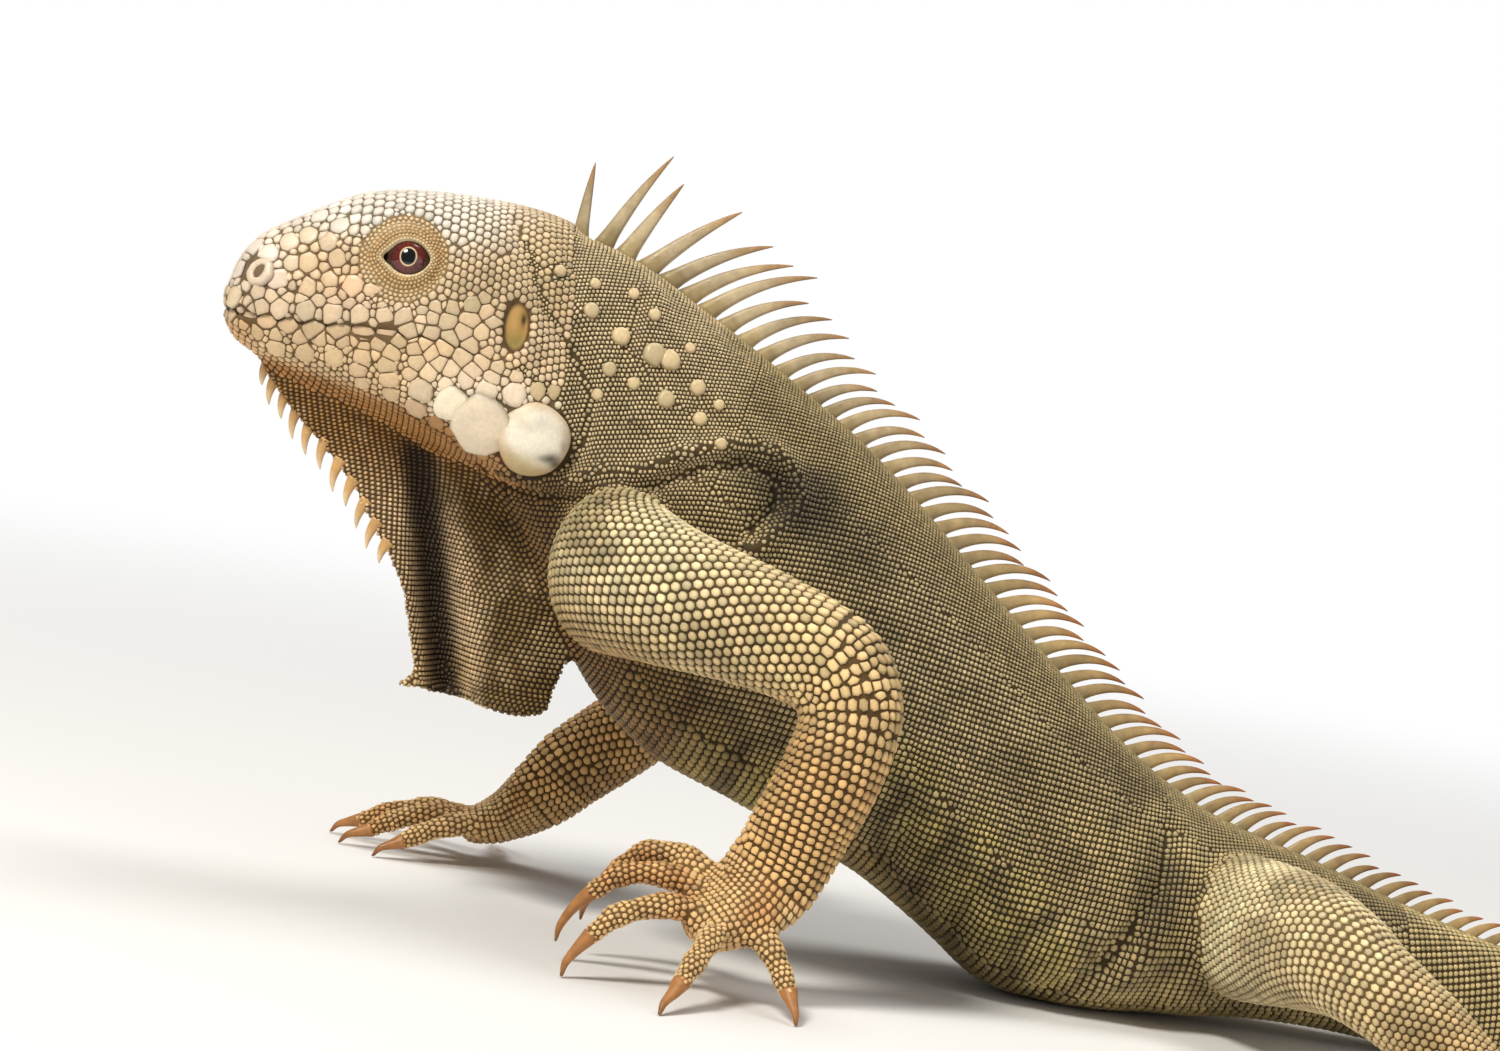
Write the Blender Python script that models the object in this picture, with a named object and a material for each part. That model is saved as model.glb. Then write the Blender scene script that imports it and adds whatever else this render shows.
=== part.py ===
"""A life-size green iguana, raised on its forelegs, built as closed flesh segments.

Millimetres in the tables, metres in the scene. The animal faces -X, its left side is -Y,
the floor is z = 0. The body is one loft from nape to tail tip, parted at planar rings; the
head is a second loft; limbs, digits and claws are tapering tubes; the dewlap is a folded
sheet; the crest is a row of blades set by length and spacing functions.
"""
import math

import bpy
import bmesh
import numpy as np
from mathutils import Matrix

MM = 0.001
GAP = 0.3                     # clearance between neighbouring pieces
ROOM = 0.25                   # clearance a limb keeps where a bend brings two lengths together
SHIFT = (-177.94, 115.58)       # from the modelling axes to the middle of the finished box
ROUND_BODY = 16
ROUND_HEAD = 18
ROUND_LIMB = 10
ROUND_DIGIT = 6


# ------------------------------------------------------------------ functions
def curve(keys, values, u):
    """Cubic Hermite curve through unevenly spaced keys."""
    k = np.asarray(keys, float)
    v = np.asarray(values, float)
    flat = v.ndim == 1
    if flat:
        v = v[:, None]
    u = np.asarray(u, float)
    d = np.diff(k)[:, None]
    s = np.diff(v, axis=0) / d
    m = np.empty_like(v)
    m[0], m[-1] = s[0], s[-1]
    m[1:-1] = (s[:-1] * d[1:] + s[1:] * d[:-1]) / (d[1:] + d[:-1])
    i = np.clip(np.searchsorted(k, u, side="right") - 1, 0, len(k) - 2)
    h = (k[i + 1] - k[i])[..., None]
    t = ((u - k[i]) / (k[i + 1] - k[i]))[..., None]
    out = ((2 * t**3 - 3 * t**2 + 1) * v[i] + (t**3 - 2 * t**2 + t) * h * m[i]
           + (-2 * t**3 + 3 * t**2) * v[i + 1] + (t**3 - t**2) * h * m[i + 1])
    return out[..., 0] if flat else out


def unit(v):
    return v / np.linalg.norm(v, axis=-1, keepdims=True)


# ------------------------------------------------------------------ body and tail
# back x, back z, belly x, belly z, half width, egg
TRUNK_ROWS = [
    (-95, 201.0, -104, 143, 23.0, -0.10),
    (-82, 204.5, -92, 134, 24.0, -0.05),
    (-68, 205.3, -80, 121, 25.5, 0.0),
    (-50, 199.8, -69, 104.5, 27.5, 0.05),
    (-33, 191.2, -58, 87, 31.0, 0.08),
    (-15, 181.7, -44, 69, 34.5, 0.10),
    (3, 171.3, -24, 54, 36.5, 0.12),
    (24, 158.5, 1, 45.0, 38.0, 0.14),
    (45, 142.5, 24, 36.5, 39.5, 0.16),
    (64, 126.5, 45, 28.0, 40.5, 0.18),
    (83, 110.5, 65, 16.0, 41.5, 0.20),
    (102, 95.0, 86, 2.5, 42.0, 0.20),
    (118, 82.5, 106, -1.0, 41.5, 0.20),
    (134, 72.0, 127, -1.1, 38.5, 0.17),
    (150, 64.5, 148, 0.8, 34.0, 0.13),
    (167, 59.5, 168, 3.0, 30.0, 0.08),
    (185, 55.0, 188, 3.6, 26.5, 0.04),
    (205, 49.0, 210, 2.5, 22.5, 0.0),
    (228, 42.5, 233, 0.5, 19.0, 0.0),
    (252, 37.0, 255, -0.6, 16.8, 0.0),
]
# distance along the tail, height, half width
TAIL_ROWS = [
    (285, 32.0, 14.6), (330, 27.5, 12.4), (390, 23.2, 10.2), (460, 19.0, 8.3),
    (540, 15.2, 6.6), (630, 11.8, 5.1), (730, 8.8, 3.9), (840, 6.4, 2.9),
    (950, 4.6, 2.1), (1040, 3.2, 1.5), (1085, 2.4, 1.1),
]
ROWS = np.array([tuple(map(float, r)) for r in TRUNK_ROWS]
                + [(x, h - 0.5, x, -0.5, w, 0.0) for x, h, w in TAIL_ROWS])
LAST = len(ROWS) - 1.0
FULLNESS = 0.92               # below 1 the flanks are fuller than an ellipse

BEND_START = 300.0
BEND_LENGTH = 785.0
# distance past the start of the bend, heading of the tail in degrees
HEADING = [(0, 0.0), (60, -6.0), (200, -50.0), (400, -112.0), (600, -158.0), (785, -190.0)]
_S = np.linspace(0, BEND_LENGTH, 1571)
_H = np.radians(curve([h[0] for h in HEADING], [h[1] for h in HEADING], _S))
_STEP = _S[1] - _S[0]
_X = BEND_START + np.concatenate([[0], np.cumsum(np.cos(_H[:-1]) * _STEP)])
_Y = np.concatenate([[0], np.cumsum(np.sin(_H[:-1]) * _STEP)])


def bend(p):
    """Lays the straight tail along its curve on the floor."""
    p = np.asarray(p, float)
    s = np.clip(p[..., 0] - BEND_START, 0, BEND_LENGTH)
    h = np.interp(s, _S, _H)
    past = p[..., 0] > BEND_START
    out = p.copy()
    out[..., 0] = np.where(past, np.interp(s, _S, _X) - np.sin(h) * p[..., 1], p[..., 0])
    out[..., 1] = np.where(past, np.interp(s, _S, _Y) + np.cos(h) * p[..., 1], p[..., 1])
    return out


def body_point(u, phi):
    """phi is 0 on the back, pi on the belly, and positive on the right side."""
    xd, zd, xv, zv, w, k = np.moveaxis(curve(np.arange(len(ROWS)), ROWS, u), -1, 0)
    c, s = np.cos(phi), np.sin(phi)
    y = w * np.sign(s) * np.abs(s) ** FULLNESS * (1 - k * c)
    return bend(np.stack([(xd + xv) / 2 + (xd - xv) / 2 * c, y, (zd + zv) / 2 + (zd - zv) / 2 * c], -1))


def tube(grid):
    """Closed mesh through rings of points, with a fan over each end."""
    n, m = grid.shape[:2]
    faces = [(i * m + j, i * m + (j + 1) % m, (i + 1) * m + (j + 1) % m, (i + 1) * m + j)
             for i in range(n - 1) for j in range(m)]
    verts = np.vstack([grid.reshape(-1, 3), grid[0].mean(0), grid[-1].mean(0)])
    faces += [(n * m, (j + 1) % m, j) for j in range(m)]
    faces += [(n * m + 1, (n - 1) * m + j, (n - 1) * m + (j + 1) % m) for j in range(m)]
    return verts, faces


def body_tube(u0, u1, step, m=ROUND_BODY):
    count = max(2, int(round((u1 - u0) / step)) + 1)
    u = np.linspace(u0, u1, count)
    phi = np.linspace(0, 2 * math.pi, m, endpoint=False)
    return tube(body_point(u[:, None], phi[None, :]))


# ------------------------------------------------------------------ head
# x, top, bottom, level of greatest width, half width, power above, power below
HEAD_ROWS = np.array([
    (-164.0, 182.5, 171.0, 177.0, 4.0, 2.0, 2.0),
    (-162.0, 189.0, 167.5, 177.5, 9.0, 2.1, 2.1),
    (-157.0, 196.5, 163.5, 178.5, 12.8, 2.2, 2.2),
    (-149.0, 202.3, 160.0, 178.5, 15.2, 2.2, 2.3),
    (-138.0, 208.5, 156.5, 177.5, 18.2, 2.2, 2.4),
    (-126.0, 214.0, 152.0, 176.5, 21.6, 2.4, 2.4),
    (-112.0, 216.5, 147.0, 174.0, 24.6, 2.6, 2.5),
    (-98.0, 217.0, 141.5, 170.0, 27.0, 2.6, 2.6),
    (-84.0, 216.5, 137.0, 164.0, 29.0, 2.4, 2.6),
    (-71.0, 214.8, 135.0, 161.0, 28.5, 2.2, 2.4),
    (-62.0, 212.3, 136.5, 162.5, 26.0, 2.1, 2.2),
])
HEAD_TILT = math.radians(3.0)
EYE = (-111.0, 15.8, 194.6, 8.0)                 # x, y, z, radius in the head's own axes
EAR = (-77.8, 179.8, 3.6, 7.2)                   # x, z, half length, half height
SHIELD = (-69.0, 27.2, 147.6, 10.6, 4.6, 10.8)   # x, y, z, three radii
MOUTH = [(-175, 174.9), (-150, 173.2), (-120, 173.6), (-98, 173.4), (-84, 169.0), (-50, 167.0)]


def head_place(p):
    p = np.asarray(p, float)
    c, s = math.cos(HEAD_TILT), math.sin(HEAD_TILT)
    return np.stack([p[..., 0] * c - p[..., 2] * s, p[..., 1], p[..., 2] * c + p[..., 0] * s], -1)


def head_tube(grow=0.0, m=ROUND_HEAD):
    _, zt, zb, zc, w, pt, pb = (a[:, None] for a in HEAD_ROWS.T)
    x = HEAD_ROWS[:, :1]
    phi = np.linspace(0, 2 * math.pi, m, endpoint=False)[None, ::-1]
    c, s = np.cos(phi), np.sin(phi)
    p = np.where(c >= 0, pt, pb)
    ca, sa = np.abs(c) ** (2 / p), np.abs(s) ** (2 / p)
    z = np.where(c >= 0, zc + (zt - zc) * ca, zc - (zc - zb) * ca)
    y = np.sign(s) * w * sa
    verts, faces = tube(np.stack([x + 0 * y, y, z], -1))
    return head_place(swell(verts, faces, grow)), faces


def swell(verts, faces, by):
    """Moves every point outward along its normal."""
    if by == 0:
        return verts
    normal = np.zeros_like(verts)
    for f in faces:
        a, b, c = verts[f[0]], verts[f[1]], verts[f[-1]]
        n = np.cross(b - a, c - a)
        for i in f:
            normal[i] += n
    centre = verts.mean(0)
    sign = 1.0 if sum(np.dot(normal[i], verts[i] - centre) for i in range(len(verts))) > 0 else -1.0
    return verts + sign * by * normal / np.maximum(np.linalg.norm(normal, axis=1), 1e-9)[:, None]


# ------------------------------------------------------------------ limbs
# x, y, z, radius across, radius through; one row per station from the root outward
LEFT_ARM = [(-40, -14, 110, 20, 25), (-46, -35, 110, 20, 25), (-31, -55, 107, 18, 21),
            (-3, -68, 102.5, 15.5, 17.5), (17, -75, 96, 14.5, 16), (24, -79, 84, 14, 15),
            (21, -81, 66, 14.5, 15), (15, -82, 50, 14.5, 13.5), (11, -82.5, 39, 14.5, 11.5),
            (5, -84, 29, 16, 9.5), (-2, -85.5, 22.5, 17, 8.5), (-7, -86.5, 19, 15, 7)]
RIGHT_ARM = [(-39, 15, 108.6, 20.5, 24), (-46, 35, 106.5, 19, 22.5), (-36, 54, 100, 17, 20),
             (-18, 70, 92, 15.5, 17), (-5, 79, 82, 14.5, 15.5), (-9, 84, 67, 14, 15),
             (-25, 86, 50, 14, 14), (-40, 86, 36, 14, 12), (-47, 86, 27.5, 14.5, 10.5),
             (-55, 86, 19.5, 16, 9), (-62, 86, 14.5, 16.5, 8), (-68, 86, 11.8, 15, 6.5)]
LEFT_LEG = [(156, -12, 33, 19, 22), (163, -34, 35, 19, 22), (171, -58, 37, 18, 20), (179, -78, 36, 15, 17),
            (188, -90, 31, 13, 14), (200, -97, 24, 12.5, 12.5), (212, -102, 16.5, 10.5, 10.5), (219, -105, 12, 9, 9)]
LEFT_SOLE = [(224, -103, 11.0, 8, 7.5), (220, -111, 10, 10.5, 7.5), (215, -120, 7.8, 12.5, 6.8), (209, -129, 7.0, 13, 6)]
ELBOW, WRIST = 4.6, 8.1      # stations where the arm is parted
KNEE = 3.6
RIGHT_LEG_FORWARD = 6.0      # the right leg stands this much further forward

# x, y, z, radius; the last three rows are the claw
LEFT_FINGERS = [
    [(-3, -76, 28, 4.8), (-14, -69, 34, 4.4), (-25, -64.5, 33.5, 4.1), (-33, -62, 27, 3.5), (-37.5, -61, 21, 1.9), (-40.5, -60.5, 15, 1.3), (-41, -60, 10.5, 0.5)],
    [(-6, -81, 25, 4.8), (-19, -79, 29.5, 4.4), (-32, -77, 28, 4.1), (-40, -76, 21.5, 3.5), (-44.5, -75, 16, 1.9), (-47.5, -74.5, 10, 1.3), (-48, -74, 5.5, 0.5)],
    [(-6, -87, 21.5, 4.8), (-20, -91, 23, 4.3), (-33, -95, 19, 4.0), (-40, -97.5, 12.5, 3.4), (-43.5, -98.5, 8, 1.9), (-46, -99.5, 4, 1.3), (-46.6, -100, 0.05, 0.5)],
    [(-2, -92, 20, 4.8), (-7, -104, 18, 4.2), (-12, -116, 12.5, 3.8), (-15.5, -123, 7.5, 3.3), (-17.5, -127.5, 5.2, 1.9), (-20, -132, 2.9, 1.2), (-21, -134.5, 0.05, 0.5)],
    [(5, -93, 20, 4.8), (10, -101, 17, 4.2), (14, -107.5, 11, 3.8), (16, -111, 7.4, 3.2), (17, -114, 5.2, 1.8), (18, -117, 3.0, 1.2), (18.5, -119, 0.05, 0.5)],
]
RIGHT_FINGERS = [
    [(-65, 76, 13, 4.8), (-77, 70, 12.5, 4.3), (-87, 66, 8.5, 3.9), (-92, 64, 5.6, 3.3), (-95, 63, 4.4, 1.9), (-98.5, 62, 2.8, 1.2), (-100.5, 61.5, 0.05, 0.5)],
    [(-67, 82, 12.5, 4.8), (-82, 80, 14, 4.3), (-95, 79, 10, 3.9), (-102, 78.5, 5.8, 3.3), (-106, 78, 4.4, 1.9), (-109.5, 78, 2.8, 1.2), (-111.5, 78, 0.05, 0.5)],
    [(-67, 88, 12.5, 4.8), (-83, 91, 14, 4.3), (-97, 94, 10, 3.9), (-105, 96, 5.8, 3.3), (-109, 97, 4.4, 1.9), (-112.5, 98, 2.8, 1.2), (-114.5, 98.5, 0.05, 0.5)],
    [(-64, 94, 12, 4.8), (-75, 104, 11.5, 4.2), (-85, 114, 8, 3.8), (-90, 119, 5.2, 3.3), (-93, 122, 4.2, 1.9), (-95.5, 125, 2.7, 1.2), (-97, 127, 0.05, 0.5)],
    [(-57, 97, 12, 4.8), (-57, 108, 9, 4.2), (-58, 116, 6.2, 3.8), (-58.5, 120, 4.6, 3.2), (-59, 123, 4.0, 1.8), (-59.5, 126.5, 2.6, 1.2), (-60, 128.5, 0.05, 0.5)],
]
LEFT_TOES = [
    [(211, -122, 7, 4.4), (201, -124, 8.5, 3.9), (192, -125, 5.8, 3.5), (188, -125.5, 4.6, 3.1), (185, -126, 4.0, 1.8), (181, -126.5, 2.6, 1.2), (179, -127, 0.05, 0.5)],
    [(208, -126, 7, 4.4), (196, -131, 9, 3.9), (184, -136, 6.2, 3.5), (179, -138, 4.6, 3.1), (176, -139, 4.0, 1.8), (172, -141, 2.6, 1.2), (170, -142, 0.05, 0.5)],
    [(207, -129, 7, 4.4), (196, -139, 9.5, 3.9), (184, -149, 6.6, 3.5), (178, -154, 4.6, 3.1), (175.5, -156, 4.0, 1.8), (172, -159, 2.6, 1.2), (170.5, -160.5, 0.05, 0.5)],
    [(208, -132, 7, 4.4), (201, -146, 9.5, 3.9), (192, -162, 7, 3.5), (188, -170, 4.6, 3.1), (186.5, -173, 4.0, 1.8), (184.5, -177, 2.6, 1.2), (183.5, -179, 0.05, 0.5)],
    [(216, -122, 7.5, 4.4), (220, -134, 8, 3.9), (222, -146, 5.8, 3.5), (222.5, -152, 4.6, 3.1), (222.5, -155, 4.0, 1.8), (222.5, -159, 2.6, 1.2), (222.5, -161, 0.05, 0.5)],
]


def mirrored(rows):
    return [(r[0] - RIGHT_LEG_FORWARD, -r[1], *r[2:]) for r in rows]


def limb_rings(path, steps, m, caps=2, end_up=None, twist_from=0.45):
    """Rings along a path, with the section's thin side turned to face end_up at the far end."""
    path = np.asarray(path, float)
    last = len(path) - 1
    u = np.linspace(0, last, steps)
    q = curve(np.arange(last + 1), path, u)
    c, a, b = q[:, :3], q[:, 3], q[:, 4]
    t = unit(np.gradient(c, axis=0))
    side = np.empty_like(t)
    first = np.cross(t[0], (0, 0, 1)) if abs(t[0][2]) < 0.9 else np.cross(t[0], (1, 0, 0))
    side[0] = unit(first)
    for i in range(1, steps):
        side[i] = unit(side[i - 1] - t[i] * (side[i - 1] @ t[i]))
    turn = 0.0
    if end_up is not None:
        want = np.asarray(end_up, float)
        want = unit(want - t[-1] * (want @ t[-1]))
        have = np.cross(side[-1], t[-1])
        turn = math.atan2(np.dot(np.cross(have, want), t[-1]), have @ want)
    for i in range(steps):
        k = np.clip((i / (steps - 1) - twist_from) / (1 - twist_from), 0, 1) * 1.25
        ang = turn * min(1.0, k)
        side[i] = side[i] * math.cos(ang) + np.cross(t[i], side[i]) * math.sin(ang)
    rows = [(u[i], c[i], t[i], side[i], a[i], b[i]) for i in range(steps)]
    for e in range(1, caps + 1):
        k = math.pi / 2 * e / (caps + 0.4)
        r = min(a[-1], b[-1]) * math.sin(k)
        rows.append((last + e, c[-1] + t[-1] * r, t[-1], side[-1], a[-1] * math.cos(k), b[-1] * math.cos(k)))
    phi = np.linspace(0, 2 * math.pi, m, endpoint=False)
    rings = [c_ + np.outer(np.cos(phi), np.cross(s_, t_)) * b_ + np.outer(np.sin(phi), s_) * a_
             for _, c_, t_, s_, a_, b_ in rows]
    return np.array([r[0] for r in rows]), np.array(rings)


def limb_part(u, rings, u0, u1, gap=GAP):
    """The stretch of a limb between two stations, flat at a parting."""
    def ring_at(x):
        i = int(np.clip(np.searchsorted(u, x) - 1, 0, len(u) - 2))
        f = (x - u[i]) / (u[i + 1] - u[i])
        return rings[i] * (1 - f) + rings[i + 1] * f
    def shifted(ring, inward):
        d = unit(inward - ring.mean(0))
        n = unit(np.cross(ring[len(ring) // 3] - ring[0], ring[2 * len(ring) // 3] - ring[0]))
        n = n if n @ d > 0 else -n
        return ring + n * gap / 2
    keep = [i for i in range(len(u)) if u0 + 0.12 < u[i] < u1 - 0.12]
    grid = [rings[i] for i in keep]
    if u0 > 0:
        grid.insert(0, shifted(ring_at(u0), grid[0].mean(0)))
    else:
        grid.insert(0, rings[0])
    if u1 < u[-1]:
        grid.append(shifted(ring_at(u1), grid[-1].mean(0)))
    else:
        grid.append(rings[-1])
    return tube(np.array(grid))


def limb_tube(path, steps, m, end_up):
    _, rings = limb_rings(path, steps, m, 2, end_up, 0.0)
    return tube(rings)


def digit(rows):
    rows = [(x, y, z, r, 0.92 * r) for x, y, z, r in rows]
    _, rings = limb_rings(rows, 6, ROUND_DIGIT, caps=0)
    return tube(rings)


# ------------------------------------------------------------------ dewlap
# level, front edge x, rear edge x, half thickness
DEWLAP_ROWS = np.array([
    (59.5, -77, -64, 1.3), (62.0, -98, -58.5, 1.5), (68.0, -99.5, -56.5, 1.6), (76.0, -102, -55, 1.6),
    (91.0, -107, -56, 1.7), (106.0, -117, -60, 1.9), (121.0, -129, -66, 2.6), (129.0, -137, -70, 3.8),
    (136.0, -145, -76, 5.6), (144.0, -153.5, -84, 8.0), (151.0, -160, -90, 9.5),
])
FOLD_DEPTH = 21.0


def dewlap_fold(x, z):
    """How far the loose skin hangs to one side of the middle plane."""
    k = np.clip((146 - z) / 52, 0, 1) ** 1.2
    centre = -87.5 - (z - 62) * 0.29
    return k * (-7 + FOLD_DEPTH * np.exp(-((x - centre) / 8.0) ** 2) - 4 * np.exp(-((x + 66) / 12.0) ** 2))


def dewlap_tube(rows=8, cols=9):
    z = np.linspace(DEWLAP_ROWS[0, 0], DEWLAP_ROWS[-1, 0], rows)
    a = np.linspace(0, 1, cols)
    grid = []
    for zi, (_, xf, xr, t) in zip(z, curve(DEWLAP_ROWS[:, 0], DEWLAP_ROWS, z)):
        x = xf + (xr - xf) * a
        y = dewlap_fold(x, zi)
        th = t * np.minimum(1, 0.35 + np.minimum(3 * a, 6 * (1 - a)))
        level = np.full(cols, zi)
        grid.append(np.vstack([np.stack([x, y - th, level], -1), np.stack([x, y + th, level], -1)[::-1]]))
    return tube(np.array(grid))


# ------------------------------------------------------------------ crest and throat spikes
CREST_FROM = 1.75             # station of the first spine
# distance from the first spine, height, width at the root
CREST_SIZE = [(0, 23, 5.0), (7, 34, 5.5), (15, 32, 6.2), (23, 31, 6.4), (31, 34, 6.0), (39, 36.5, 5.8), (47, 34, 5.8),
              (56, 28.5, 5.4), (65, 26, 5.2), (76, 24.5, 5.0), (90, 22, 4.8), (160, 22, 4.8), (220, 19.5, 4.6),
              (270, 16, 4.4), (320, 12.5, 4.4), (380, 9.2, 4.4), (450, 6.6, 4.2), (600, 4.2, 4.0), (740, 2.4, 3.4)]
# distance, spacing
CREST_STEP = [(0, 7.4), (60, 7.4), (85, 6.2), (240, 6.0), (330, 6.2), (420, 7.4), (740, 9.0)]
CREST_END = 720.0
# distance, degrees above the back's own line at the root and at the tip
CREST_LEAN = [(0, 92, 88), (8, 80, 66), (16, 84, 76), (24, 66, 48), (32, 70, 38), (48, 72, 34), (70, 74, 26), (100, 76, 14),
              (250, 72, 12), (400, 60, 18), (740, 50, 20)]
LAST_SPINE = 0.78             # the last spine of a length is kept short of the next length's first
SINK = 2.2                    # depth of the root in the flesh


def crest_spines():
    """(station, root, along, up, height, width, lean) of each spine."""
    u = np.linspace(CREST_FROM, LAST - 0.02, 4000)
    p = body_point(u, np.zeros_like(u))
    s = np.concatenate([[0], np.cumsum(np.linalg.norm(np.diff(p, axis=0), axis=1))])
    size = np.array(CREST_SIZE, float)
    steps = np.array(CREST_STEP, float)
    lean = np.array(CREST_LEAN, float)
    found, at, n = [], 0.0, 0
    while at < CREST_END:
        i = int(np.searchsorted(s, at))
        along = unit(p[min(i + 12, len(p) - 1)] - p[max(i - 12, 0)])
        across = unit(np.cross(along, (0, 0, 1)))
        up = np.cross(across, along)
        vary = 1 + 0.09 * math.sin(n * 2.4) + 0.05 * math.sin(n * 5.1)
        height = float(np.interp(at, size[:, 0], size[:, 1])) * vary
        width = float(np.interp(at, size[:, 0], size[:, 2]))
        angles = (float(np.interp(at, lean[:, 0], lean[:, 1])), float(np.interp(at, lean[:, 0], lean[:, 2])))
        found.append((float(u[i]), p[i], along, up, height, width, angles))
        at += float(np.interp(at, steps[:, 0], steps[:, 1]))
        n += 1
    return found


def blade(root, along, up, height, width, lean, rings=4, thin=0.24):
    """A curved, flattened, pointed spine whose cross-section is a diamond."""
    across = np.cross(along, up)
    n = 24
    t = np.linspace(0, 1, n)
    ang = np.radians(lean[0] + (lean[1] - lean[0]) * t ** 1.15)
    step = (height + SINK) / (n - 1)
    path = root - up * SINK + np.concatenate([[np.zeros(3)], np.cumsum(
        (np.outer(np.cos(ang[:-1]), along) + np.outer(np.sin(ang[:-1]), up)) * step, axis=0)])
    verts, faces = [], []
    for i in range(rings):
        k = i / rings
        j = int(round(k * (n - 1)))
        forward = np.cos(ang[j]) * along + np.sin(ang[j]) * up
        edge = unit(np.cross(across, forward))
        half = width / 2 * (1 - k) ** 0.75
        verts += [path[j] - edge * half, path[j] + across * max(half * thin * 2, 0.3),
                  path[j] + edge * half, path[j] - across * max(half * thin * 2, 0.3)]
    verts.append(path[-1])
    for i in range(rings - 1):
        faces += [(4 * i + j, 4 * i + (j + 1) % 4, 4 * i + 4 + (j + 1) % 4, 4 * i + 4 + j) for j in range(4)]
    faces += [(4 * rings - 4 + j, 4 * rings - 4 + (j + 1) % 4, 4 * rings) for j in range(4)]
    faces.append((3, 2, 1, 0))
    return np.array(verts), faces


# levels of the spikes on the throat's front edge, and their lengths
THROAT_SPIKES = [(150.5, 5.5), (147.0, 7.5), (143.0, 7.0), (139.0, 8.5), (135.0, 8.5), (130.5, 7.5),
                 (125.5, 8.5), (120.5, 7.0), (115.0, 7.5), (109.5, 7.5), (104.0, 5.5)]


def throat_spikes():
    blades = []
    for n, (z, length) in enumerate(THROAT_SPIKES):
        row = curve(DEWLAP_ROWS[:, 0], DEWLAP_ROWS, z)
        low = curve(DEWLAP_ROWS[:, 0], DEWLAP_ROWS, z - 2)
        x = row[1] + 0.6
        along = unit(np.array([low[1] - row[1], 0, -2.0]))
        up = np.array([along[2], 0, -along[0]])
        root = np.array([x, float(dewlap_fold(x, z)), z])
        blades.append(blade(root, along, up, length, 3.6, lean=(70.0, 25.0), rings=2, thin=0.22))
    return blades


# ------------------------------------------------------------------ Blender
for thing in list(bpy.data.objects):
    bpy.data.objects.remove(thing, do_unlink=True)
PARTS = bpy.data.collections.new("iguana")
TOOLS = bpy.data.collections.new("tools")
bpy.context.scene.collection.children.link(PARTS)
bpy.context.scene.collection.children.link(TOOLS)
TOOLS.hide_render = True


def mesh_object(name, data):
    verts, faces = data
    mesh = bpy.data.meshes.new(name)
    mesh.from_pydata([tuple(v * MM) for v in np.asarray(verts)], [], [tuple(int(i) for i in f) for f in faces])
    mesh.validate()
    return linked(name, mesh)


def linked(name, mesh):
    obj = bpy.data.objects.new(name, mesh)
    TOOLS.objects.link(obj)
    obj.hide_render = True
    obj.display_type = "WIRE"
    outward(obj)
    return obj


def outward(obj):
    bm = bmesh.new()
    bm.from_mesh(obj.data)
    bmesh.ops.recalc_face_normals(bm, faces=bm.faces)
    if bm.calc_volume(signed=True) < 0:
        bmesh.ops.reverse_faces(bm, faces=bm.faces)
    bm.to_mesh(obj.data)
    bm.free()


def closed(mesh):
    """Every edge has exactly two faces."""
    count = {}
    for poly in mesh.polygons:
        for key in poly.edge_keys:
            count[key] = count.get(key, 0) + 1
    return bool(count) and all(n == 2 for n in count.values())


def volume(mesh):
    total = 0.0
    for poly in mesh.polygons:
        v = [np.array(mesh.vertices[i].co) for i in poly.vertices]
        total += sum(float(np.dot(v[0], np.cross(v[i], v[i + 1]))) for i in range(1, len(v) - 1))
    return total / 6


# a hair's breadth of movement for a Boolean whose faces meet edge on
NUDGES = [(0, 0, 0), (0.011, 0.007, 0.005), (-0.013, 0.009, -0.007), (0.017, -0.015, 0.011), (-0.023, -0.019, 0.013)]


def combine(obj, others, operation):
    """Exact Boolean, applied at once."""
    for other in others:
        before = volume(obj.data)
        kept = None
        for nudge in NUDGES:
            other.location = [n * MM for n in nudge]
            mod = obj.modifiers.new(operation.lower(), "BOOLEAN")
            mod.solver = "EXACT"
            mod.operation = operation
            mod.object = other
            bpy.context.view_layer.update()
            graph = bpy.context.evaluated_depsgraph_get()
            made = bpy.data.meshes.new_from_object(obj.evaluated_get(graph))
            obj.modifiers.clear()
            after = volume(made)
            right = after >= before * 0.999 if operation == "UNION" else 0 < after <= before * 1.001
            if kept is None or (closed(made) and right):
                kept = made
            if closed(made) and right:
                break
        other.location = (0, 0, 0)
        obj.data = kept
    return obj


def tidy(obj):
    """Triangles, with slivers merged by the largest distance that leaves the mesh closed."""
    for merge in (0.00015, 0.0001, 0.00005, 0.00002, 0.000008, 0.000002):
        bm = bmesh.new()
        bm.from_mesh(obj.data)
        bmesh.ops.triangulate(bm, faces=bm.faces)
        bmesh.ops.remove_doubles(bm, verts=bm.verts, dist=merge)
        bmesh.ops.dissolve_degenerate(bm, dist=merge / 2, edges=bm.edges)
        bmesh.ops.triangulate(bm, faces=bm.faces)
        made = bpy.data.meshes.new(obj.name)
        bm.to_mesh(made)
        bm.free()
        if closed(made):
            break
    obj.data = made
    return obj


def biggest(obj):
    """Keeps the largest loose piece of a mesh, so that a sliver left by a cut doesn't stay."""
    bm = bmesh.new()
    bm.from_mesh(obj.data)
    bm.verts.ensure_lookup_table()
    seen, groups = set(), []
    for v in bm.verts:
        if v.index in seen:
            continue
        stack, group = [v], []
        seen.add(v.index)
        while stack:
            w = stack.pop()
            group.append(w)
            for e in w.link_edges:
                o = e.other_vert(w)
                if o.index not in seen:
                    seen.add(o.index)
                    stack.append(o)
        groups.append(group)
    groups.sort(key=len)
    for group in groups[:-1]:
        bmesh.ops.delete(bm, geom=group, context="VERTS")
    bm.to_mesh(obj.data)
    bm.free()
    return obj


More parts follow.
